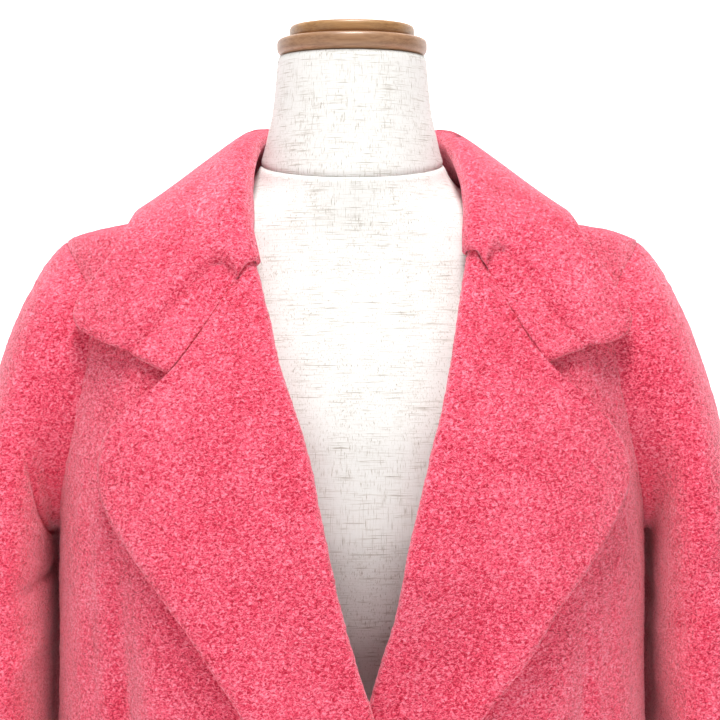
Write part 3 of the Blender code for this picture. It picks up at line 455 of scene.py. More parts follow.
# ---------------------------------------------------------------- the collar
def collar_surface(path, way, roll, edge, side, fold, free):
    """Visible face of half the collar: stand and fold for path 0 to 1, fall for 1 to 2."""
    fold_line = line_of(fold, "x", "y", "z", "up_y", "up_z")
    centre = along(fold_line, way)[..., :3]
    step = 0.004
    run = unit((along(fold_line, np.minimum(way + step, 1))
                - along(fold_line, np.maximum(way - step, 0)))[..., :3])
    run[..., 0] = np.where(way > 1 - step, -side, run[..., 0])
    run[..., 1:] = np.where(np.expand_dims(way > 1 - step, -1), 0, run[..., 1:])
    lift = along(fold_line, way)[..., 2:] * np.array([0, 1, 1])
    lift = unit(lift - run * np.sum(lift * run, axis=-1, keepdims=True))
    outward = unit(np.cross(run, lift)) * side

    swing = math.pi * (1 - 0.5 * np.clip(2 * path - 1, 0, 1))
    turned = (centre + outward * np.expand_dims(ROLL_RADIUS * np.cos(swing), -1)
              + lift * np.expand_dims(ROLL_RADIUS * np.sin(swing), -1))
    seam = neck_seam(way, roll, side)
    share = np.expand_dims(np.clip(2 * path, 0, 1), -1)
    stand = seam + (centre - outward * ROLL_RADIUS - seam) * share
    inner = np.where(np.expand_dims(path < 0.5, -1), stand, turned)

    top = centre + lift * ROLL_RADIUS
    keys = np.linspace(0, 1, len(free["across"]))
    corner = np.exp(-((keys - CORNER_WAY) / CORNER_REACH) ** 2)
    raised = LAPEL_LIE + COLLAR_LIFT + CORNER_RISE * corner
    free_line = on_body(free["across"], free["height"], free["behind"], raised)
    end = along(free_line, way)
    chord = end - top
    length = np.linalg.norm(chord, axis=-1, keepdims=True)
    t = np.expand_dims(np.clip(path - 1, 0, 1), -1)
    fall = (top + chord * t * t * (3 - 2 * t)
            + outward * np.minimum(0.30 * length, FALL_BULGE) * t * (1 - t) ** 2
            - chord * t * t * (1 - t))
    lie = LAPEL_LIE + COLLAR_LIFT * t[..., 0]
    for _ in range(3):
        short = np.maximum(lie - body_distance(fall), 0)
        fall = fall + np.expand_dims(short, -1) * body_normal(fall)
    shaped = np.where(np.expand_dims(path < 1, -1), inner, fall)

    lapel = lapel_surface(path, 0 * way, roll, edge, side)
    blend = np.expand_dims(ease(0, COLLAR_BLEND, way), -1)
    edge_shift = end - lapel_surface(0 * way + 2, 0 * way, roll, edge, side)
    fold_shift = centre - along(fold_line, 0 * way)[..., :3]
    start = lapel + fold_shift + (edge_shift - fold_shift) * t
    return start + (shaped - start) * blend


def neck_seam(way, roll, side):
    """Where the collar stand meets the body cloth, just inside its neck edge."""
    heights = np.linspace(roll["height"][0], NECKLINE, 8)
    front = on_body(front_edge(roll, heights, side), heights)
    turns = np.linspace(turn_at_across(front[-1, 0] * side, NECKLINE), math.pi, 14)[1:]
    ring = body_from_turn(turns * side, np.full(len(turns), NECKLINE))
    line = np.concatenate([front, ring])
    inward = -unit(line * np.array([1, 1, 0]))
    return along(line + inward * STAND_SHIFT + np.array([0, 0, STAND_RISE]), way)


def collar_wall(path):
    """Thickness of the collar along its path."""
    return STAND_WALL + (COLLAR_WALL - STAND_WALL) * ease(*WALL_PATH, path)


# ---------------------------------------------------------------- the sleeves
def armhole_ring(around, side):
    """Armhole edge on the body cloth, from the shoulder tip forward and round."""
    height = ARMHOLE_MIDDLE + ARMHOLE_HALF * np.cos(around)
    forward = np.sin(around) > 0
    depth = np.abs(np.sin(around)) * np.where(forward, ARMHOLE_FRONT, ARMHOLE_BACK)
    row = section(height)
    full = np.where(forward, row["front_depth"], row["back_depth"])
    n = row["squareness"]
    x = side * row["half_width"] * (1 - (depth / full) ** n) ** (1 / n)
    return np.stack([x, np.where(forward, -depth, depth), height], axis=-1)


def sleeve_surface(way, around, side):
    """Outer face of a sleeve, from the armhole at way 0 to the cuff at way 1."""
    row = row_at(SLEEVE, "way", way)
    settled = ease(0, SLEEVE_SETTLED, way)
    power = 2 / (2 + (SLEEVE_ROUNDNESS - 2) * settled)
    tall = np.sign(np.cos(around)) * np.abs(np.cos(around)) ** power
    deep = -np.sign(np.sin(around)) * np.abs(np.sin(around)) ** power
    x = (row["inner_x"] + row["outer_x"]) / 2 + (row["outer_x"] - row["inner_x"]) / 2 * tall
    z = (row["inner_z"] + row["outer_z"]) / 2 + (row["outer_z"] - row["inner_z"]) / 2 * tall
    hole_depth = np.where(deep < 0, ARMHOLE_FRONT, ARMHOLE_BACK)
    depth = hole_depth + (row["half_depth"] - hole_depth) * settled
    x = x - SLEEVE_TUCK * settled * (1 - tall) / 2 * ease(TUCK_BEGINS, TUCK_FULL, depth * deep)
    ring = np.stack([side * x, depth * deep, z], axis=-1)
    hole = armhole_ring(around, side)
    step = 0.01
    run = armhole_ring(around + step, side) - armhole_ring(around - step, side)
    hole = hole + unit(np.cross(body_normal(hole), run)) * side * SEAM_GAP * 1.6
    blend = np.expand_dims(ease(0, SLEEVE_BLEND, way), -1)
    return hole + (ring - hole) * blend


def face_normal(surface, first, second, step=0.0015):
    """Unit normal of a surface of two parameters, from nearby points."""
    a = surface(first + step, second) - surface(first - step, second)
    b = surface(first, second + step) - surface(first, second - step)
    return unit(np.cross(a, b))


# ---------------------------------------------------------------- cloth looks: sizes
FRONT_SPACING = 0.0020       # distances between the mesh lines of the fine pieces
BACK_SPACING = 0.0026
SLEEVE_SPACING = 0.0023
LAPEL_SPACING = 0.0016
COLLAR_SPACING = 0.0017
INNER_STRIDE = 3             # the unseen face of the cloth takes every third mesh line
NAP_SIZE = 0.0042            # lumps of the looped yarn that stand off the cloth
NAP_HEIGHT = 0.00075
WAVE_SIZE = 0.045            # slow unevenness of a hung cloth
WAVE_HEIGHT = 0.0011
WAVE_SETTLED = 0.012         # the unevenness fades out towards the edges
EDGE_ROUND = 0.0020          # how far a cut edge is rounded over
EDGE_DROP = 0.30             # of the wall's thickness
EDGE_BULGE = 0.35            # of the wall's thickness
LAPEL_SPRING = 0.0035        # how far a lapel's edge springs off the front
LAPEL_REACH = 0.115          # cloth from the roll to a lapel's edge
LAPEL_WAVES = 0.6            # lapels and collar lie smoother than the body
COLLAR_ROUND = 0.62          # cloth round the collar
SLEEVE_RADIUS = 0.062        # mean distance of the cloth from a sleeve's middle
STAND_REACH = 0.035          # cloth up the collar's stand and down its fall
FALL_REACH = 0.105
COLLAR_SETTLE = 0.0026       # how far the collar's edge sinks on the shoulder and back
SMOOTH_PASSES = 90           # of evening out the collar over the shoulder
PANEL_ROUNDNESS = 0.9        # mean radius of a body panel against the body's half width
LAPEL_SLANT = 1.04           # length of a lapel against its height
MIRROR_SHIFT = 0.35          # turn that sets the two sleeves' creases apart

# Where these shapes set in: path 0 to 1 round a fold and 1 to 2 out to the edge, way along it.
SLEEVE_HEAD = 0.07
SLEEVE_CREASING = (0.04, 0.16)
SPRING_PATH, SPRING_WAY = (1.45, 2.0), (0.0, 0.08)
LYING_PATH = (1.0, 1.3)
SETTLE_PATH, SETTLE_WAY = (1.3, 2.0), (0.27, 0.40)
RIDGE_PATH, RIDGE_BEGINS, RIDGE_ENDS = (1.10, 1.35), (0.16, 0.26), (0.50, 0.64)
GORGE_GAP = 0.003

FORM_COLUMNS = 160
DISC_STEPS = 128
SEAM_WIDTH = 0.0007          # the form's front and back seam
SEAM_DEPTH = 0.00045
EDGE_TUCK = 0.0010           # how far the linen turns in at a seam
TUCK_REACH = 0.0015
THREAD_REACH = 0.0024
THREAD_RADIUS = 0.00045
THREAD_SINK = 0.0004
BUTTON_INSET = 0.028         # from the front's edge, and below the break
BUTTON_DROP = 0.030
BUTTON_LIFT = 0.0010
BUTTON_ROUND = 0.0012

CAMERA_ACROSS = 0.0056
CAMERA_HEIGHT = 0.780
CAMERA_AWAY = 1.8
FRAME_WIDTH = 0.504          # what the picture shows across at the form's middle

# Creases of the body cloth: turn round the body, heights, width and depth.
CREASES = columns(
    "turn_top turn_bottom top bottom half_width depth",
    (-58.0, -52.0, 0.74, 0.30, 0.011, -0.0022),
    (-46.0, -43.5, 0.66, 0.16, 0.011, -0.0036),
    (-37.0, -35.0, 0.62, 0.16, 0.010, 0.0026),
    (47.5, 45.0, 0.64, 0.16, 0.011, -0.0030),
    (-27.0, -24.0, 0.56, 0.20, 0.013, 0.0018),
    (57.0, 53.0, 0.72, 0.36, 0.012, -0.0020),
    (36.0, 33.0, 0.60, 0.20, 0.015, 0.0020),
    (-14.0, -10.0, 0.36, 0.15, 0.020, -0.0024),
    (22.0, 18.0, 0.40, 0.15, 0.018, -0.0022),
    (138.0, 141.0, 0.76, 0.30, 0.013, 0.0022),
    (-161.0, -158.0, 0.72, 0.26, 0.015, 0.0022),
    (171.0, 176.0, 0.60, 0.15, 0.017, -0.0024),
    (-132.0, -128.0, 0.62, 0.22, 0.013, -0.0020),
    (160.0, 166.0, 0.50, 0.15, 0.016, 0.0020))

# Creases of a sleeve: middle and slant across its length, place round it, width and depth.
SLEEVE_CREASES = columns(
    "way slant around reach half_width depth",
    (0.30, 0.10, 4.10, 0.75, 0.014, -0.0026),
    (0.52, -0.14, 3.70, 0.80, 0.012, -0.0024),
    (0.60, 0.10, 1.90, 0.70, 0.013, -0.0022),
    (0.66, -0.12, 4.60, 0.80, 0.013, 0.0020),
    (0.72, -0.10, 2.60, 0.70, 0.012, -0.0024),
    (0.78, 0.12, 3.90, 0.75, 0.013, -0.0020),
    (0.86, 0.08, 1.60, 0.70, 0.014, 0.0018),
    (0.91, -0.10, 2.90, 0.80, 0.013, -0.0020))


# ---------------------------------------------------------------- noise and grids
def cloud(points, size, seed):
    """Smooth noise from -1 to 1 whose lumps are about size across."""
    count = 24
    lattice = np.random.default_rng(seed).uniform(-1, 1, (count, count, count))
    place = points / size
    cell = np.floor(place).astype(int)
    part = place - cell
    part = part * part * (3 - 2 * part)
    total = np.zeros(points.shape[:-1])
    for corner in np.ndindex(2, 2, 2):
        weight = np.ones(points.shape[:-1])
        for axis in range(3):
            share = part[..., axis]
            weight = weight * (share if corner[axis] else 1 - share)
        index = (cell + np.array(corner)) % count
        total += weight * lattice[index[..., 0], index[..., 1], index[..., 2]]
    return total


def grid_lengths(grid, axis):
    """Distance along the mesh lines of a grid from its first line."""
    reach = np.linalg.norm(np.diff(grid, axis=axis), axis=-1)
    start = np.zeros_like(np.take(reach, [0], axis=axis))
    return np.concatenate([start, np.cumsum(reach, axis=axis)], axis=axis)


def thirds(length, spacing):
    """Number of mesh spaces for a length, a multiple of the unseen face's stride."""
    return INNER_STRIDE * max(2, round(length / spacing / INNER_STRIDE))


def edge_distance(grid, closed, sewn):
    """Distance of each grid point from the nearest open edge that isn't sewn on."""
    down, across = grid_lengths(grid, 0), grid_lengths(grid, 1)
    reach = {"first row": down, "last row": down[-1:] - down}
    if not closed:
        reach |= {"first column": across, "last column": across[:, -1:] - across}
    return np.minimum.reduce([away for edge, away in reach.items() if edge not in sewn])


def smoothed(grid, weight):
    """A grid evened out where the weight is 1."""
    weight = weight[..., None] / 2
    for _ in range(SMOOTH_PASSES):
        grid = grid.copy()
        grid[1:-1] += weight[1:-1] * ((grid[:-2] + grid[2:]) / 2 - grid[1:-1])
        grid[:, 1:-1] += weight[:, 1:-1] * ((grid[:, :-2] + grid[:, 2:]) / 2 - grid[:, 1:-1])
    return grid


def napped(grid, normal, wall, seed, sewn=(), closed=False, lively=1.0):
    """The visible face of looped cloth: uneven, napped and rounded over at its edges.

    Sewn edges, named by the grid's first or last row or column, aren't rounded.
    """
    near = edge_distance(grid, closed, sewn)
    settled = ease(0.0, WAVE_SETTLED, edge_distance(grid, closed, ()))
    wave = WAVE_HEIGHT * cloud(grid, WAVE_SIZE, seed) * settled * lively
    nap = NAP_HEIGHT * (0.6 * cloud(grid, NAP_SIZE, seed + 1)
                        + 0.4 * cloud(grid, NAP_SIZE * 0.55, seed + 2))
    dropped = EDGE_DROP * wall * np.exp(-(near / EDGE_ROUND) ** 2)
    return grid + np.expand_dims(wave + nap - dropped, -1) * normal


# ---------------------------------------------------------------- cloth meshes
def quads(numbers, closed):
    """Faces between the points of a grid of point numbers."""
    if closed:
        numbers = np.concatenate([numbers, numbers[:, :1]], axis=1)
    corners = [numbers[:-1, :-1], numbers[:-1, 1:], numbers[1:, 1:], numbers[1:, :-1]]
    return np.stack(corners, axis=-1).reshape(-1, 4).tolist()


def borders(rows, count, closed):
    """Rows and columns of a grid's open edges, each once round."""
    if closed:
        return [[(row, c) for c in range(count)] for row in (0, rows - 1)]
    return [[(0, c) for c in range(count - 1)]
            + [(r, count - 1) for r in range(rows - 1)]
            + [(rows - 1, c) for c in range(count - 1, 0, -1)]
            + [(r, 0) for r in range(rows - 1, 0, -1)]]


def cloth_object(name, outer, inner, material, closed=False):
    """A closed cloth wall, fine outside and coarse inside, with rounded rims."""
    rows, count = outer.shape[:2]
    thinned = inner[::INNER_STRIDE, ::INNER_STRIDE]
    points = [outer.reshape(-1, 3), thinned.reshape(-1, 3)]
    fine, coarse = numbered(outer), rows * count + numbered(thinned)
    faces = quads(fine, closed) + quads(coarse, closed)
    total = rows * count + coarse.size
    for border in borders(rows, count, closed):
        r, c = np.array(border).T
        inward = np.clip(r, 1, rows - 2), (c if closed else np.clip(c, 1, count - 2))
        size = np.linalg.norm(outer[r, c] - inner[r, c], axis=-1, keepdims=True)
        away = unit(outer[r, c] - outer[inward]) * size * EDGE_BULGE
        middle = (outer[r, c] + inner[r, c]) / 2 + away
        upper = outer[r, c] + (inner[r, c] - outer[r, c]) * 0.18 + away * 0.7
        steps = len(border)
        first = total + np.arange(steps)
        second = first + steps
        total += 2 * steps
        points += [upper, middle]
        after = np.roll(np.arange(steps), -1)
        for here, there in ((fine[r, c], first), (first, second)):
            faces += np.stack([here, here[after], there[after], there], axis=-1).tolist()
        for start in range(0, steps, INNER_STRIDE):
            run = [second[(start + k) % steps] for k in range(INNER_STRIDE + 1)]
            end = (start + INNER_STRIDE) % steps
            faces.append([*run, coarse[r[end] // INNER_STRIDE, c[end] // INNER_STRIDE],
                          coarse[r[start] // INNER_STRIDE, c[start] // INNER_STRIDE]])
    return piece(name, np.concatenate(points), faces, material)


def piece(name, points, faces, material):
    """An object from points and faces, its faces turned outward."""
    mesh = bpy.data.meshes.new(name)
    mesh.from_pydata(points.tolist(), [], faces)
    shape = bmesh.new()
    shape.from_mesh(mesh)
    bmesh.ops.recalc_face_normals(shape, faces=shape.faces)
    shape.to_mesh(mesh)
    shape.free()
    mesh.shade_smooth()
    mesh.materials.append(material)
    thing = bpy.data.objects.new(name, mesh)
    bpy.context.scene.collection.objects.link(thing)
    return thing


def numbered(grid):
    """Point numbers of a grid of points."""
    return np.arange(grid[..., 0].size).reshape(grid.shape[:2])


def capped(name, grid, material):
    """A closed object from rings of points, with a face over each end."""
    numbers = numbered(grid)
    faces = quads(numbers, True) + [numbers[0].tolist(), numbers[-1].tolist()]
    return piece(name, grid.reshape(-1, 3), faces, material)


# ---------------------------------------------------------------- garment pieces
def panel_grid(inner_turn, outer_turn, spacing, top):
    """Heights and turns of a body panel between two edges given by height."""
    rows = thirds(top - HEM, spacing)
    heights = np.linspace(HEM, top, rows + 1)
    start, end = inner_turn(heights), outer_turn(heights)
    reach = np.abs(end - start).max() * BODY["half_width"].mean() * PANEL_ROUNDNESS
    share = np.linspace(0, 1, thirds(reach, spacing) + 1)
    turns = start[:, None] + (end - start)[:, None] * share
    return turns, np.repeat(heights[:, None], len(share), axis=1)


def side_turn(height, behind):
    """Turn of a panel's side edge: side seam, armhole or shoulder seam."""
    depth = np.maximum(armhole_depth(height, behind), SEAM_GAP / 2)
    return turn_at_depth(depth, height, behind)


def make_panel(name, edges, spacing, material, seed, sewn, tucked=False):
    """Body panel between two edges given as turns by height."""
    turns, heights = panel_grid(*edges, spacing, NECKLINE)
    points = body_from_turn(turns, heights)
    normal = body_normal(points)
    moved = folds(points, FOLDS) + folds(points, CREASES)
    if tucked:
        moved = moved - tuck(points)
    face = points + normal * moved[..., None]
    outer = napped(face, normal, PANEL_WALL, seed, sewn=sewn)
    return cloth_object(name, outer, face - normal * PANEL_WALL, material)


def make_front(name, roll, side, material, seed):
    """Front panel from the roll line and front edge to the side seam and armhole."""
    edges = (lambda z: turn_at_across(front_edge(roll, z, side), z),
             lambda z: side * side_turn(z, behind=False))
    return make_panel(name, edges, FRONT_SPACING, material, seed,
                      ("last column", "last row"), tucked=side > 0)


def make_back(material):
    """Back panel from side seam to side seam."""
    edges = (lambda z: side_turn(z, behind=True),
             lambda z: 2 * math.pi - side_turn(z, behind=True))
    return make_panel("cloth_back", edges, BACK_SPACING, material, 31,
                      ("first column", "last column", "last row"))


def sleeve_creases(way, around, side):
    """How far the creases move a sleeve outward."""
    moved = np.zeros_like(way)
    length = SLEEVE["outer_z"][0] - SLEEVE["outer_z"][-1]
    for middle, slant, place, reach, half_width, depth in zip(*SLEEVE_CREASES.values()):
        place = place if side > 0 else 2 * math.pi - place + MIRROR_SHIFT
        apart = (around - place + math.pi) % (2 * math.pi) - math.pi
        away = (way - middle - slant * apart / 2) * length / half_width
        moved += depth * np.exp(-away ** 2 - (apart / reach) ** 2)
    return moved


def make_sleeve(name, side, material, seed):
    """Sleeve tube, open at the armhole and the cuff."""
    length = SLEEVE["outer_z"][0] - SLEEVE["outer_z"][-1]
    rows = thirds(length, SLEEVE_SPACING)
    count = thirds(2 * math.pi * SLEEVE_RADIUS, SLEEVE_SPACING)
    way, around = np.meshgrid(np.linspace(0, 1, rows + 1),
                              np.linspace(-math.pi, math.pi, count, endpoint=False),
                              indexing="ij")
    face = sleeve_surface(way, around, side)
    own = face_normal(lambda w, a: sleeve_surface(w, a, side), way, around)
    centre = face.mean(axis=1, keepdims=True)
    own = own * np.sign(np.sum(own[-1:] * (face - centre)[-1:], axis=-1, keepdims=True).mean())
    seam = body_normal(armhole_ring(around, side))
    blend = ease(0, SLEEVE_HEAD, way)[..., None]
    normal = unit(seam + (own - seam) * blend)
    moved = sleeve_creases(way, around, side) * ease(*SLEEVE_CREASING, way)
    face = face + normal * moved[..., None]
    outer = napped(face, normal, SLEEVE_WALL, seed, sewn=("first row",), closed=True)
    return cloth_object(name, outer, face - normal * SLEEVE_WALL, material, closed=True)


def lapel_end(roll):
    """Way down a lapel where it ends, just above the break."""
    ways = np.linspace(0, 1, 200)
    heights = along(line_of(roll, "across", "height"), ways)[:, 1]
    return np.interp(-(BREAK + LAPEL_TAIL), -heights, ways)


def fine_paths(reach, spacing):
    """Paths round the fold and out over the flat part, evenly spaced on the cloth."""
    turned = math.pi * ROLL_RADIUS / 2
    count = thirds(turned + reach, spacing)
    walked = np.linspace(0, turned + reach, count + 1)
    return np.where(walked < turned, walked / turned, 1 + (walked - turned) / reach)


def make_lapel(name, roll, edge, side, material, seed):
    """Turned-back lapel over its front panel."""
    def surface(path, way):
        face = lapel_surface(path, way, roll, edge, side)
        spring = LAPEL_SPRING * ease(*SPRING_PATH, path) * ease(*SPRING_WAY, way)
        return face + spring[..., None] * body_normal(face)
    length = roll["height"][0] - BREAK
    rows = thirds(length * LAPEL_SLANT, LAPEL_SPACING)
    path, way = np.meshgrid(fine_paths(LAPEL_REACH, LAPEL_SPACING),
                            np.linspace(0, lapel_end(roll), rows + 1))
    face = surface(path, way)
    normal = face_normal(surface, path, way) * -side
    lying = ease(*LYING_PATH, path)[..., None]
    normal = unit(normal + (body_normal(face) - normal) * lying)
    wall = lapel_wall(path)
    outer = napped(face, normal, wall, seed, sewn=("first row", "first column"),
                   lively=LAPEL_WAVES)
    return cloth_object(name, outer, face - normal * wall[..., None], material)


def make_collar(material):
    """Collar stand and fall in one piece, from notch to notch round the neck."""
    def surface(path, way):
        left = collar_surface(path, np.clip(way, 0, 1), ROLL_RIGHT, EDGE_RIGHT, -1,
                              COLLAR_FOLD_RIGHT, COLLAR_EDGE_RIGHT)
        right = collar_surface(path, np.clip(2 - way, 0, 1), ROLL_LEFT, EDGE_LEFT, 1,
                               COLLAR_FOLD_LEFT, COLLAR_EDGE_LEFT)
        return np.where(np.expand_dims(way <= 1, -1), left, right)
    rows = thirds(COLLAR_ROUND, COLLAR_SPACING)
    path, way = np.meshgrid(collar_paths(), np.linspace(GORGE_GAP, 2 - GORGE_GAP, rows + 1))
    face = surface(path, way)
    near = np.minimum(way, 2 - way)
    settled = COLLAR_SETTLE * ease(*SETTLE_PATH, path) * ease(*SETTLE_WAY, near)
    face = face - settled[..., None] * body_normal(face)
    normal = face_normal(surface, path, way)
    by_gorge = 1 - ease(0.0, COLLAR_BLEND, near)
    lying = (ease(*LYING_PATH, path) * by_gorge)[..., None]
    normal = unit(normal + (body_normal(face) - normal) * lying)
    over_ridge = (ease(*RIDGE_PATH, path) * ease(*RIDGE_BEGINS, near)
                  * (1 - ease(*RIDGE_ENDS, near)))
    face, normal = smoothed(face, over_ridge), unit(smoothed(normal, over_ridge))
    wall = collar_wall(path)
    outer = napped(face, normal, wall, 71, sewn=("first row", "last row", "first column"),
                   lively=LAPEL_WAVES)
    return cloth_object("cloth_collar", outer, face - normal * wall[..., None], material)


def collar_paths():
    """Paths up the stand, round the fold and down the fall."""
    ends = np.cumsum([0, STAND_REACH, math.pi * ROLL_RADIUS / 2, FALL_REACH])
    walked = np.linspace(0, ends[-1], thirds(ends[-1], COLLAR_SPACING) + 1)
    return np.interp(walked, ends, [0, 0.5, 1, 2])


# ---------------------------------------------------------------- dress form and stand
def make_form(name, table, rows, material):
    """Linen-covered body with a fine seam down the front and back."""
    turns = np.linspace(0, 2 * math.pi, FORM_COLUMNS, endpoint=False)
    heights = np.linspace(table["height"][0], table["height"][-1], rows + 1)
    rings = []
    for height in heights:
        row = row_at(table, "height", height)
        x, y = ring(row, turns)
        rings.append(np.stack([x, y, height + row["tilt"] * y], axis=-1))
    grid = np.stack(rings)
    seam = np.exp(-(grid[..., 0] / SEAM_WIDTH) ** 2)
    edges = np.minimum(heights - heights[0], heights[-1] - heights)[:, None]
    inward = -unit(grid * np.array([1, 1, 0]))
    dip = SEAM_DEPTH * seam + EDGE_TUCK * np.exp(-(edges / TUCK_REACH) ** 2)
    grid = grid + inward * dip[..., None]
    return capped(name, grid, material)


def turned(name, profile, steps, material):
    """A turned solid from its (radius, height) profile, listed from the top down."""
    turns = np.linspace(0, 2 * math.pi, steps, endpoint=False)
    rings = [[(radius * math.cos(t), radius * math.sin(t), height) for t in turns]
             for radius, height in profile if radius > 0]
    return capped(name, np.array(rings), material)


def arc(radius, height, rounding, start, end, steps=7):
    """Points of a rounded corner about (radius, height), angles in degrees from outward."""
    return [(radius + rounding * math.cos(a), height + rounding * math.sin(a))
            for a in np.radians(np.linspace(start, end, steps))]


def disc_profile(bottom, top, radius, upper_round, lower_round):
    """Profile of a turned plate with soft edges, top first."""
    return ([(radius * 0.3, top), (radius - upper_round * 1.6, top)]
            + arc(radius - upper_round, top - upper_round, upper_round, 90, 0)
            + arc(radius - lower_round, bottom + lower_round, lower_round, 0, -90)
            + [(radius * 0.3, bottom)])


def make_caps(lower_wood, upper_wood):
    """Two wooden discs on the neck."""
    low, middle, high = CAP_HEIGHTS
    lower = disc_profile(low, middle, CAP_RADII[0], 0.0035, 0.0055)
    upper = disc_profile(middle + SEAM_GAP, high, CAP_RADII[1], 0.0030, 0.0025)
    return [turned("disc_lower", lower, DISC_STEPS, lower_wood),
            turned("disc_upper", upper, DISC_STEPS, upper_wood)]


# ---------------------------------------------------------------- materials
class Nodes:
    """A material's nodes, made and linked by short calls."""

    def __init__(self, name, **settings):
        self.material = bpy.data.materials.new(name)
        self.material.use_nodes = True
        self.tree = self.material.node_tree
        self.shader = self.tree.nodes["Principled BSDF"]
        for key, value in settings.items():
            self.shader.inputs[key.replace("_", " ")].default_value = value

    def add(self, kind, **values):
        """A node with its properties and, where a name is an input, that input's value."""
        node = self.tree.nodes.new(kind)
        for key, value in values.items():
            title = key.replace("_", " ").title()
            if title in node.inputs:
                if isinstance(value, bpy.types.NodeSocket):
                    self.tree.links.new(value, node.inputs[title])
                else:
                    node.inputs[title].default_value = value
            else:
                setattr(node, key, value)
        return node

    def link(self, output, target):
        self.tree.links.new(output, target)

    def place(self, scale):
        """Places in the object's own metres, scaled."""
        source = self.add("ShaderNodeTexCoord")
        mapped = self.add("ShaderNodeMapping", vector=source.outputs["Object"])
        mapped.inputs["Scale"].default_value = scale
        return mapped.outputs["Vector"]

    def noise(self, vector, detail=2.0, rough=0.5, distortion=0.0):
        """Noise at a vector, or at the object's places scaled by three numbers."""
        if isinstance(vector, tuple):
            vector = self.place(vector)
        made = self.add("ShaderNodeTexNoise", vector=vector, scale=1.0, detail=detail,
                        roughness=rough, distortion=distortion)
        return made.outputs["Fac"]

    def mix(self, first, second, share):
        """Two numbers or sockets blended by a share."""
        gap = self.math("SUBTRACT", second, first)
        return self.math("MULTIPLY_ADD", gap, share, first)

    def math(self, operation, *values):
        made = self.add("ShaderNodeMath", operation=operation)
        for target, value in zip(made.inputs, values):
            if isinstance(value, bpy.types.NodeSocket):
                self.link(value, target)
            else:
                target.default_value = value
        return made.outputs[0]

    def ramp(self, share, *stops):
        """Colours by share: stops of (place, (red, green, blue))."""
        made = self.add("ShaderNodeValToRGB")
        self.link(share, made.inputs["Fac"])
        elements = made.color_ramp.elements
        while len(elements) < len(stops):
            elements.new(0.5)
        for element, (place, colour) in zip(elements, stops):
            element.position = place
            element.color = (*colour, 1)
        return made.outputs["Color"]

    def finish(self, colour, height=None, distance=0.0005, strength=1.0, roughness=None):
        self.link(colour, self.shader.inputs["Base Color"])
        if roughness is not None:
            self.link(roughness, self.shader.inputs["Roughness"])
        if height is not None:
            bump = self.add("ShaderNodeBump", height=height, distance=distance, strength=strength)
            self.link(bump.outputs["Normal"], self.shader.inputs["Normal"])
        return self.material


def looped_wool():
    """Thick looped wool: short wavy flecks of pale and deep pink, with a soft nap; the colour
    follows the loops' bump height, so it holds painted shade in their hollows and painted
    highlight on their tops.
    """
    made = Nodes("looped_wool", Roughness=0.92, Sheen_Weight=0.85, Sheen_Roughness=0.40,
                 Sheen_Tint=(1.0, 0.62, 0.68, 1), Specular_IOR_Level=0.12)
    warp = made.noise((260, 260, 260), detail=1.0)
    spread = made.add("ShaderNodeCombineXYZ", x=warp, y=warp, z=made.math("MULTIPLY", warp, 2.6))
    pushed = made.add("ShaderNodeVectorMath", operation="ADD")
    made.link(made.place((520, 520, 820)), pushed.inputs[0])
    made.link(spread.outputs[0], pushed.inputs[1])
    loops = made.noise(pushed.outputs[0], detail=2.5, rough=0.6, distortion=0.9)
    fibres = made.noise((2100, 2100, 2100), detail=2.0, distortion=0.6)
    patches = made.noise((28, 28, 22), detail=3.0)
    # painted shade and highlight: the colour ramp reads the bump's own height, so the hollows
    # between loops are painted deeper pink as shade and the loop tops paler as highlight, over
    # the flecks' own tone and large random patches
    height = made.mix(loops, fibres, 0.22)
    share = made.mix(height, patches, 0.10)
    colour = made.ramp(share, (0.40, (0.50, 0.012, 0.038)), (0.46, (0.78, 0.045, 0.100)),
                       (0.52, (0.95, 0.105, 0.185)), (0.61, (1.0, 0.29, 0.39)))
    return made.finish(colour, height, distance=0.0022, strength=0.9)


def linen():
    """Off-white linen with grey-brown slubs both ways."""
    made = Nodes("linen", Roughness=0.85, Specular_IOR_Level=0.2, Sheen_Weight=0.15)
    upright = made.noise((1500, 1500, 60), detail=3.0, rough=0.65)
    level = made.noise((55, 55, 1500), detail=3.0, rough=0.65)
    patch = made.noise((90, 90, 40), detail=2.0)
    dark = made.mix(made.math("MAXIMUM", upright, level), patch, 0.12)
    colour = made.ramp(dark, (0.52, (0.76, 0.75, 0.725)), (0.59, (0.68, 0.66, 0.62)),
                       (0.65, (0.47, 0.43, 0.38)), (0.75, (0.27, 0.23, 0.19)))
    weave = made.math("ADD", upright, level)
    return made.finish(colour, weave, distance=0.00025, strength=0.5)


def wood(name, dark, light):
    """Fine-grained varnished wood, its grain running across the discs."""
    made = Nodes(name, Roughness=0.42, Coat_Weight=0.25, Coat_Roughness=0.25)
    lines = made.noise((14, 150, 420), detail=5.0, rough=0.6, distortion=0.6)
    pores = made.noise((60, 900, 1700), detail=2.0)
    share = made.mix(lines, pores, 0.30)
    colour = made.ramp(share, (0.36, dark), (0.62, light))
    rough = made.mix(0.36, 0.55, pores)
    return made.finish(colour, share, distance=0.0002, strength=0.4, roughness=rough)


def painted_metal():
    """Pale powder-coated steel of the stand."""
    made = Nodes("painted_metal", Roughness=0.45, Metallic=0.0, Specular_IOR_Level=0.5)
    grain = made.noise((900, 900, 900), detail=2.0)
    wear = made.noise((16, 16, 16), detail=4.0, rough=0.6)
    colour = made.ramp(wear, (0.35, (0.60, 0.58, 0.55)), (0.65, (0.70, 0.685, 0.655)))
    rough = made.mix(0.38, 0.56, wear)
    return made.finish(colour, grain, distance=0.0001, strength=0.3, roughness=rough)


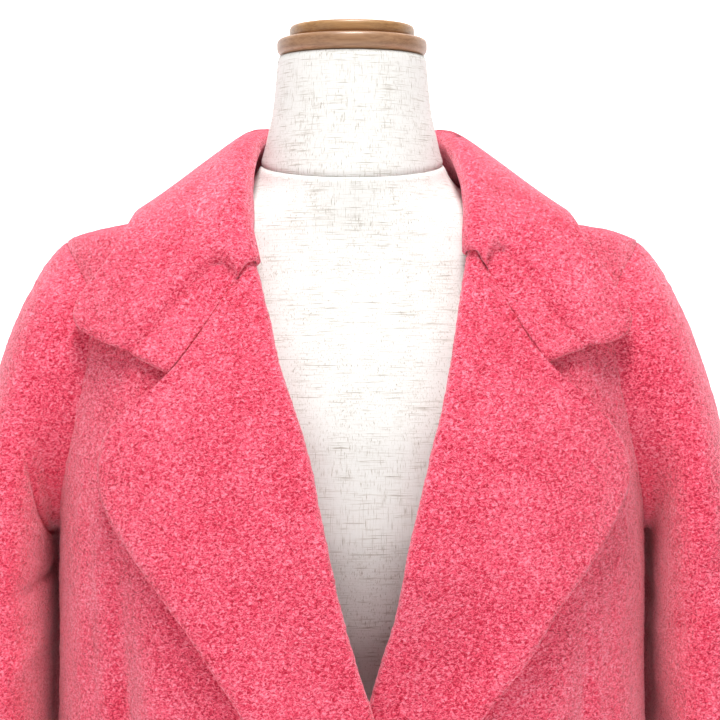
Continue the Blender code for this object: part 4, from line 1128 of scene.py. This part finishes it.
def button_shell():
    """Dyed pearly button."""
    made = Nodes("button_shell", Roughness=0.28, Coat_Weight=0.4, Coat_Roughness=0.12)
    clouds = made.noise((90, 90, 320), detail=3.0, distortion=1.2)
    colour = made.ramp(clouds, (0.30, (0.40, 0.035, 0.075)), (0.55, (0.66, 0.085, 0.15)),
                       (0.75, (0.80, 0.20, 0.27)))
    return made.finish(colour, clouds, distance=0.00015, strength=0.3)


# ---------------------------------------------------------------- stage
def make_stage():
    """Pale floor that sweeps up behind, lights and white surroundings."""
    half_width, front, depth, rise, bend, drop = 5.0, -4.0, 1.6, 3.2, 0.9, 0.0005
    steps = [(front, 0.0), (depth - bend, 0.0)]
    steps += [(depth - bend + bend * math.sin(a), bend - bend * math.cos(a))
              for a in np.linspace(0, math.pi / 2, 24)[1:]]
    steps += [(depth, rise)]
    grid = np.array([[(x, y, z - drop) for y, z in steps] for x in (-half_width, half_width)])
    sweep = piece("sweep", grid.reshape(-1, 3), quads(numbered(grid), False),
                  Nodes("sweep", Base_Color=(0.95, 0.95, 0.95, 1), Roughness=0.9,
                        Emission_Color=(1, 1, 1, 1), Emission_Strength=0.75).material)
    world = bpy.data.worlds.new("surroundings")
    world.use_nodes = True
    background = world.node_tree.nodes["Background"]
    background.inputs["Color"].default_value = (1, 1, 1, 1)
    background.inputs["Strength"].default_value = 0.27
    bpy.context.scene.world = world
    bpy.context.scene.view_settings.view_transform = "Standard"
    make_light("key", (-0.10, -1.15, 3.0), (0, 0, 0.80), 0.7, 24)
    make_light("left", (-2.1, -1.6, 1.5), (0, 0, 0.70), 1.4, 6)
    make_light("right", (1.9, -2.0, 1.5), (0, 0, 0.72), 1.5, 3.5)
    make_light("top", (0.05, -0.40, 2.6), (0, 0, 0.90), 0.7, 40)


def make_light(name, place, towards, size, power):
    lamp = bpy.data.lights.new(name, "AREA")
    lamp.shape = "DISK"
    lamp.size = size
    lamp.energy = power
    thing = bpy.data.objects.new(name, lamp)
    thing.location = place
    aim = Vector(towards) - Vector(place)
    thing.rotation_euler = aim.to_track_quat("-Z", "Y").to_euler()
    bpy.context.scene.collection.objects.link(thing)


def make_camera():
    """Level camera in front of the chest, framed as the photograph."""
    lens = bpy.data.cameras.new("camera")
    lens.sensor_width = 36.0
    lens.lens = lens.sensor_width * CAMERA_AWAY / FRAME_WIDTH
    camera = bpy.data.objects.new("camera", lens)
    camera.location = (CAMERA_ACROSS, -CAMERA_AWAY, CAMERA_HEIGHT)
    camera.rotation_euler = (math.radians(90), 0, 0)
    bpy.context.scene.collection.objects.link(camera)
    bpy.context.scene.camera = camera


# ---------------------------------------------------------------- button
def make_button(shell, thread):
    """Four-hole button with a raised rim, sewn on with a crossed thread."""
    middle = on_body(np.array(OVERLAP - BUTTON_INSET), np.array(BREAK - BUTTON_DROP), 0,
                     BUTTON_LIFT)
    normal = body_normal(middle)
    rim, dish = BUTTON_RADIUS * 0.74, BUTTON_THICKNESS * 0.60
    soft, hole = BUTTON_ROUND, 0.0008
    profile = ([(hole, dish), (rim - soft, dish), (rim, dish + 0.0004)]
               + arc((rim + BUTTON_RADIUS) / 2 - 0.0002, BUTTON_THICKNESS - soft, soft, 150, 60)
               + arc(BUTTON_RADIUS - soft, BUTTON_THICKNESS - 0.0022, soft, 40, -60)
               + [(BUTTON_RADIUS - 0.0030, 0.0), (hole, 0.0)])
    button = turned("sewn_button", profile, 72, shell)
    turn = Matrix.Translation(Vector(middle)) @ Vector((0, 0, 1)).rotation_difference(
        Vector(normal)).to_matrix().to_4x4()
    parts = [button]
    for k, (start, end) in enumerate(((-1, 1), (1, -1))):
        for lane in (-1, 1):
            run = [(THREAD_REACH * reach, lane * THREAD_REACH, dish + rise)
                   for reach, rise in ((start, -THREAD_SINK), (start * 0.7, THREAD_RADIUS),
                                       (end * 0.7, THREAD_RADIUS), (end, -THREAD_SINK))]
            if k:
                run = [(y, x, z + THREAD_RADIUS) for x, y, z in run]
            parts.append(tube(f"thread_{k}_{'ab'[lane > 0]}", run, THREAD_RADIUS, thread))
    for part in parts:
        part.data.transform(turn)
    return parts


def tube(name, places, radius, material):
    """A round thread through places."""
    places = np.array(places)
    share = np.linspace(0, 1, 4 * len(places))
    line = along(places, share)
    run = unit(np.gradient(line, axis=0))
    side = unit(np.cross(run, [0, 0, 1.0]))
    up = np.cross(side, run)
    turns = np.linspace(0, 2 * math.pi, 8, endpoint=False)
    rings = (line[:, None] + radius * (side[:, None] * np.cos(turns)[:, None]
                                       + up[:, None] * np.sin(turns)[:, None]))
    return capped(name, rings, material)


# ---------------------------------------------------------------- assembly
def cloth(thing, node):
    """A cloth piece stands for its solid and rides on the part."""
    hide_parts(node)
    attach(thing, "root")


def hard(thing, slot, *nodes):
    """A rigid piece that rides on the part, in the place of its solids."""
    if nodes:
        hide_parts(*nodes)
    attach(thing, "root")


def main():
    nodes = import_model()["nodes"]
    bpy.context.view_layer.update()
    make_camera()
    make_stage()

    wool = looped_wool()
    cloth(make_back(wool), "back")
    cloth(make_front("cloth_front_right", ROLL_RIGHT, -1, wool, 11), "front_right")
    cloth(make_front("cloth_front_left", ROLL_LEFT, 1, wool, 21), "front_left")
    cloth(make_lapel("cloth_lapel_right", ROLL_RIGHT, EDGE_RIGHT, -1, wool, 41), "lapel_right")
    cloth(make_lapel("cloth_lapel_left", ROLL_LEFT, EDGE_LEFT, 1, wool, 51), "lapel_left")
    cloth(make_collar(wool), "collar")
    cloth(make_sleeve("cloth_sleeve_right", -1, wool, 61), "sleeve_right")
    cloth(make_sleeve("cloth_sleeve_left", 1, wool, 65), "sleeve_left")

    cover = linen()
    hard(make_form("linen_torso", TORSO, 240, cover), "linen", "form_torso")
    hard(make_form("linen_neck", NECK, 48, cover), "linen", "form_neck")
    beech = wood("tan_wood", (0.22, 0.105, 0.047), (0.36, 0.195, 0.10))
    golden = wood("golden_wood", (0.24, 0.115, 0.038), (0.41, 0.22, 0.085))
    disc_lower, disc_upper = make_caps(beech, golden)
    hard(disc_lower, "wood", "cap_lower")
    hard(disc_upper, "golden_wood", "cap_upper")

    shell, *threads = make_button(button_shell(), wool)
    hard(shell, "button", "button")
    for thread in threads:
        hard(thread, "wool")

    metal = painted_metal()
    for node in ("base", "pole"):
        nodes[node].data.materials[0] = metal


main()
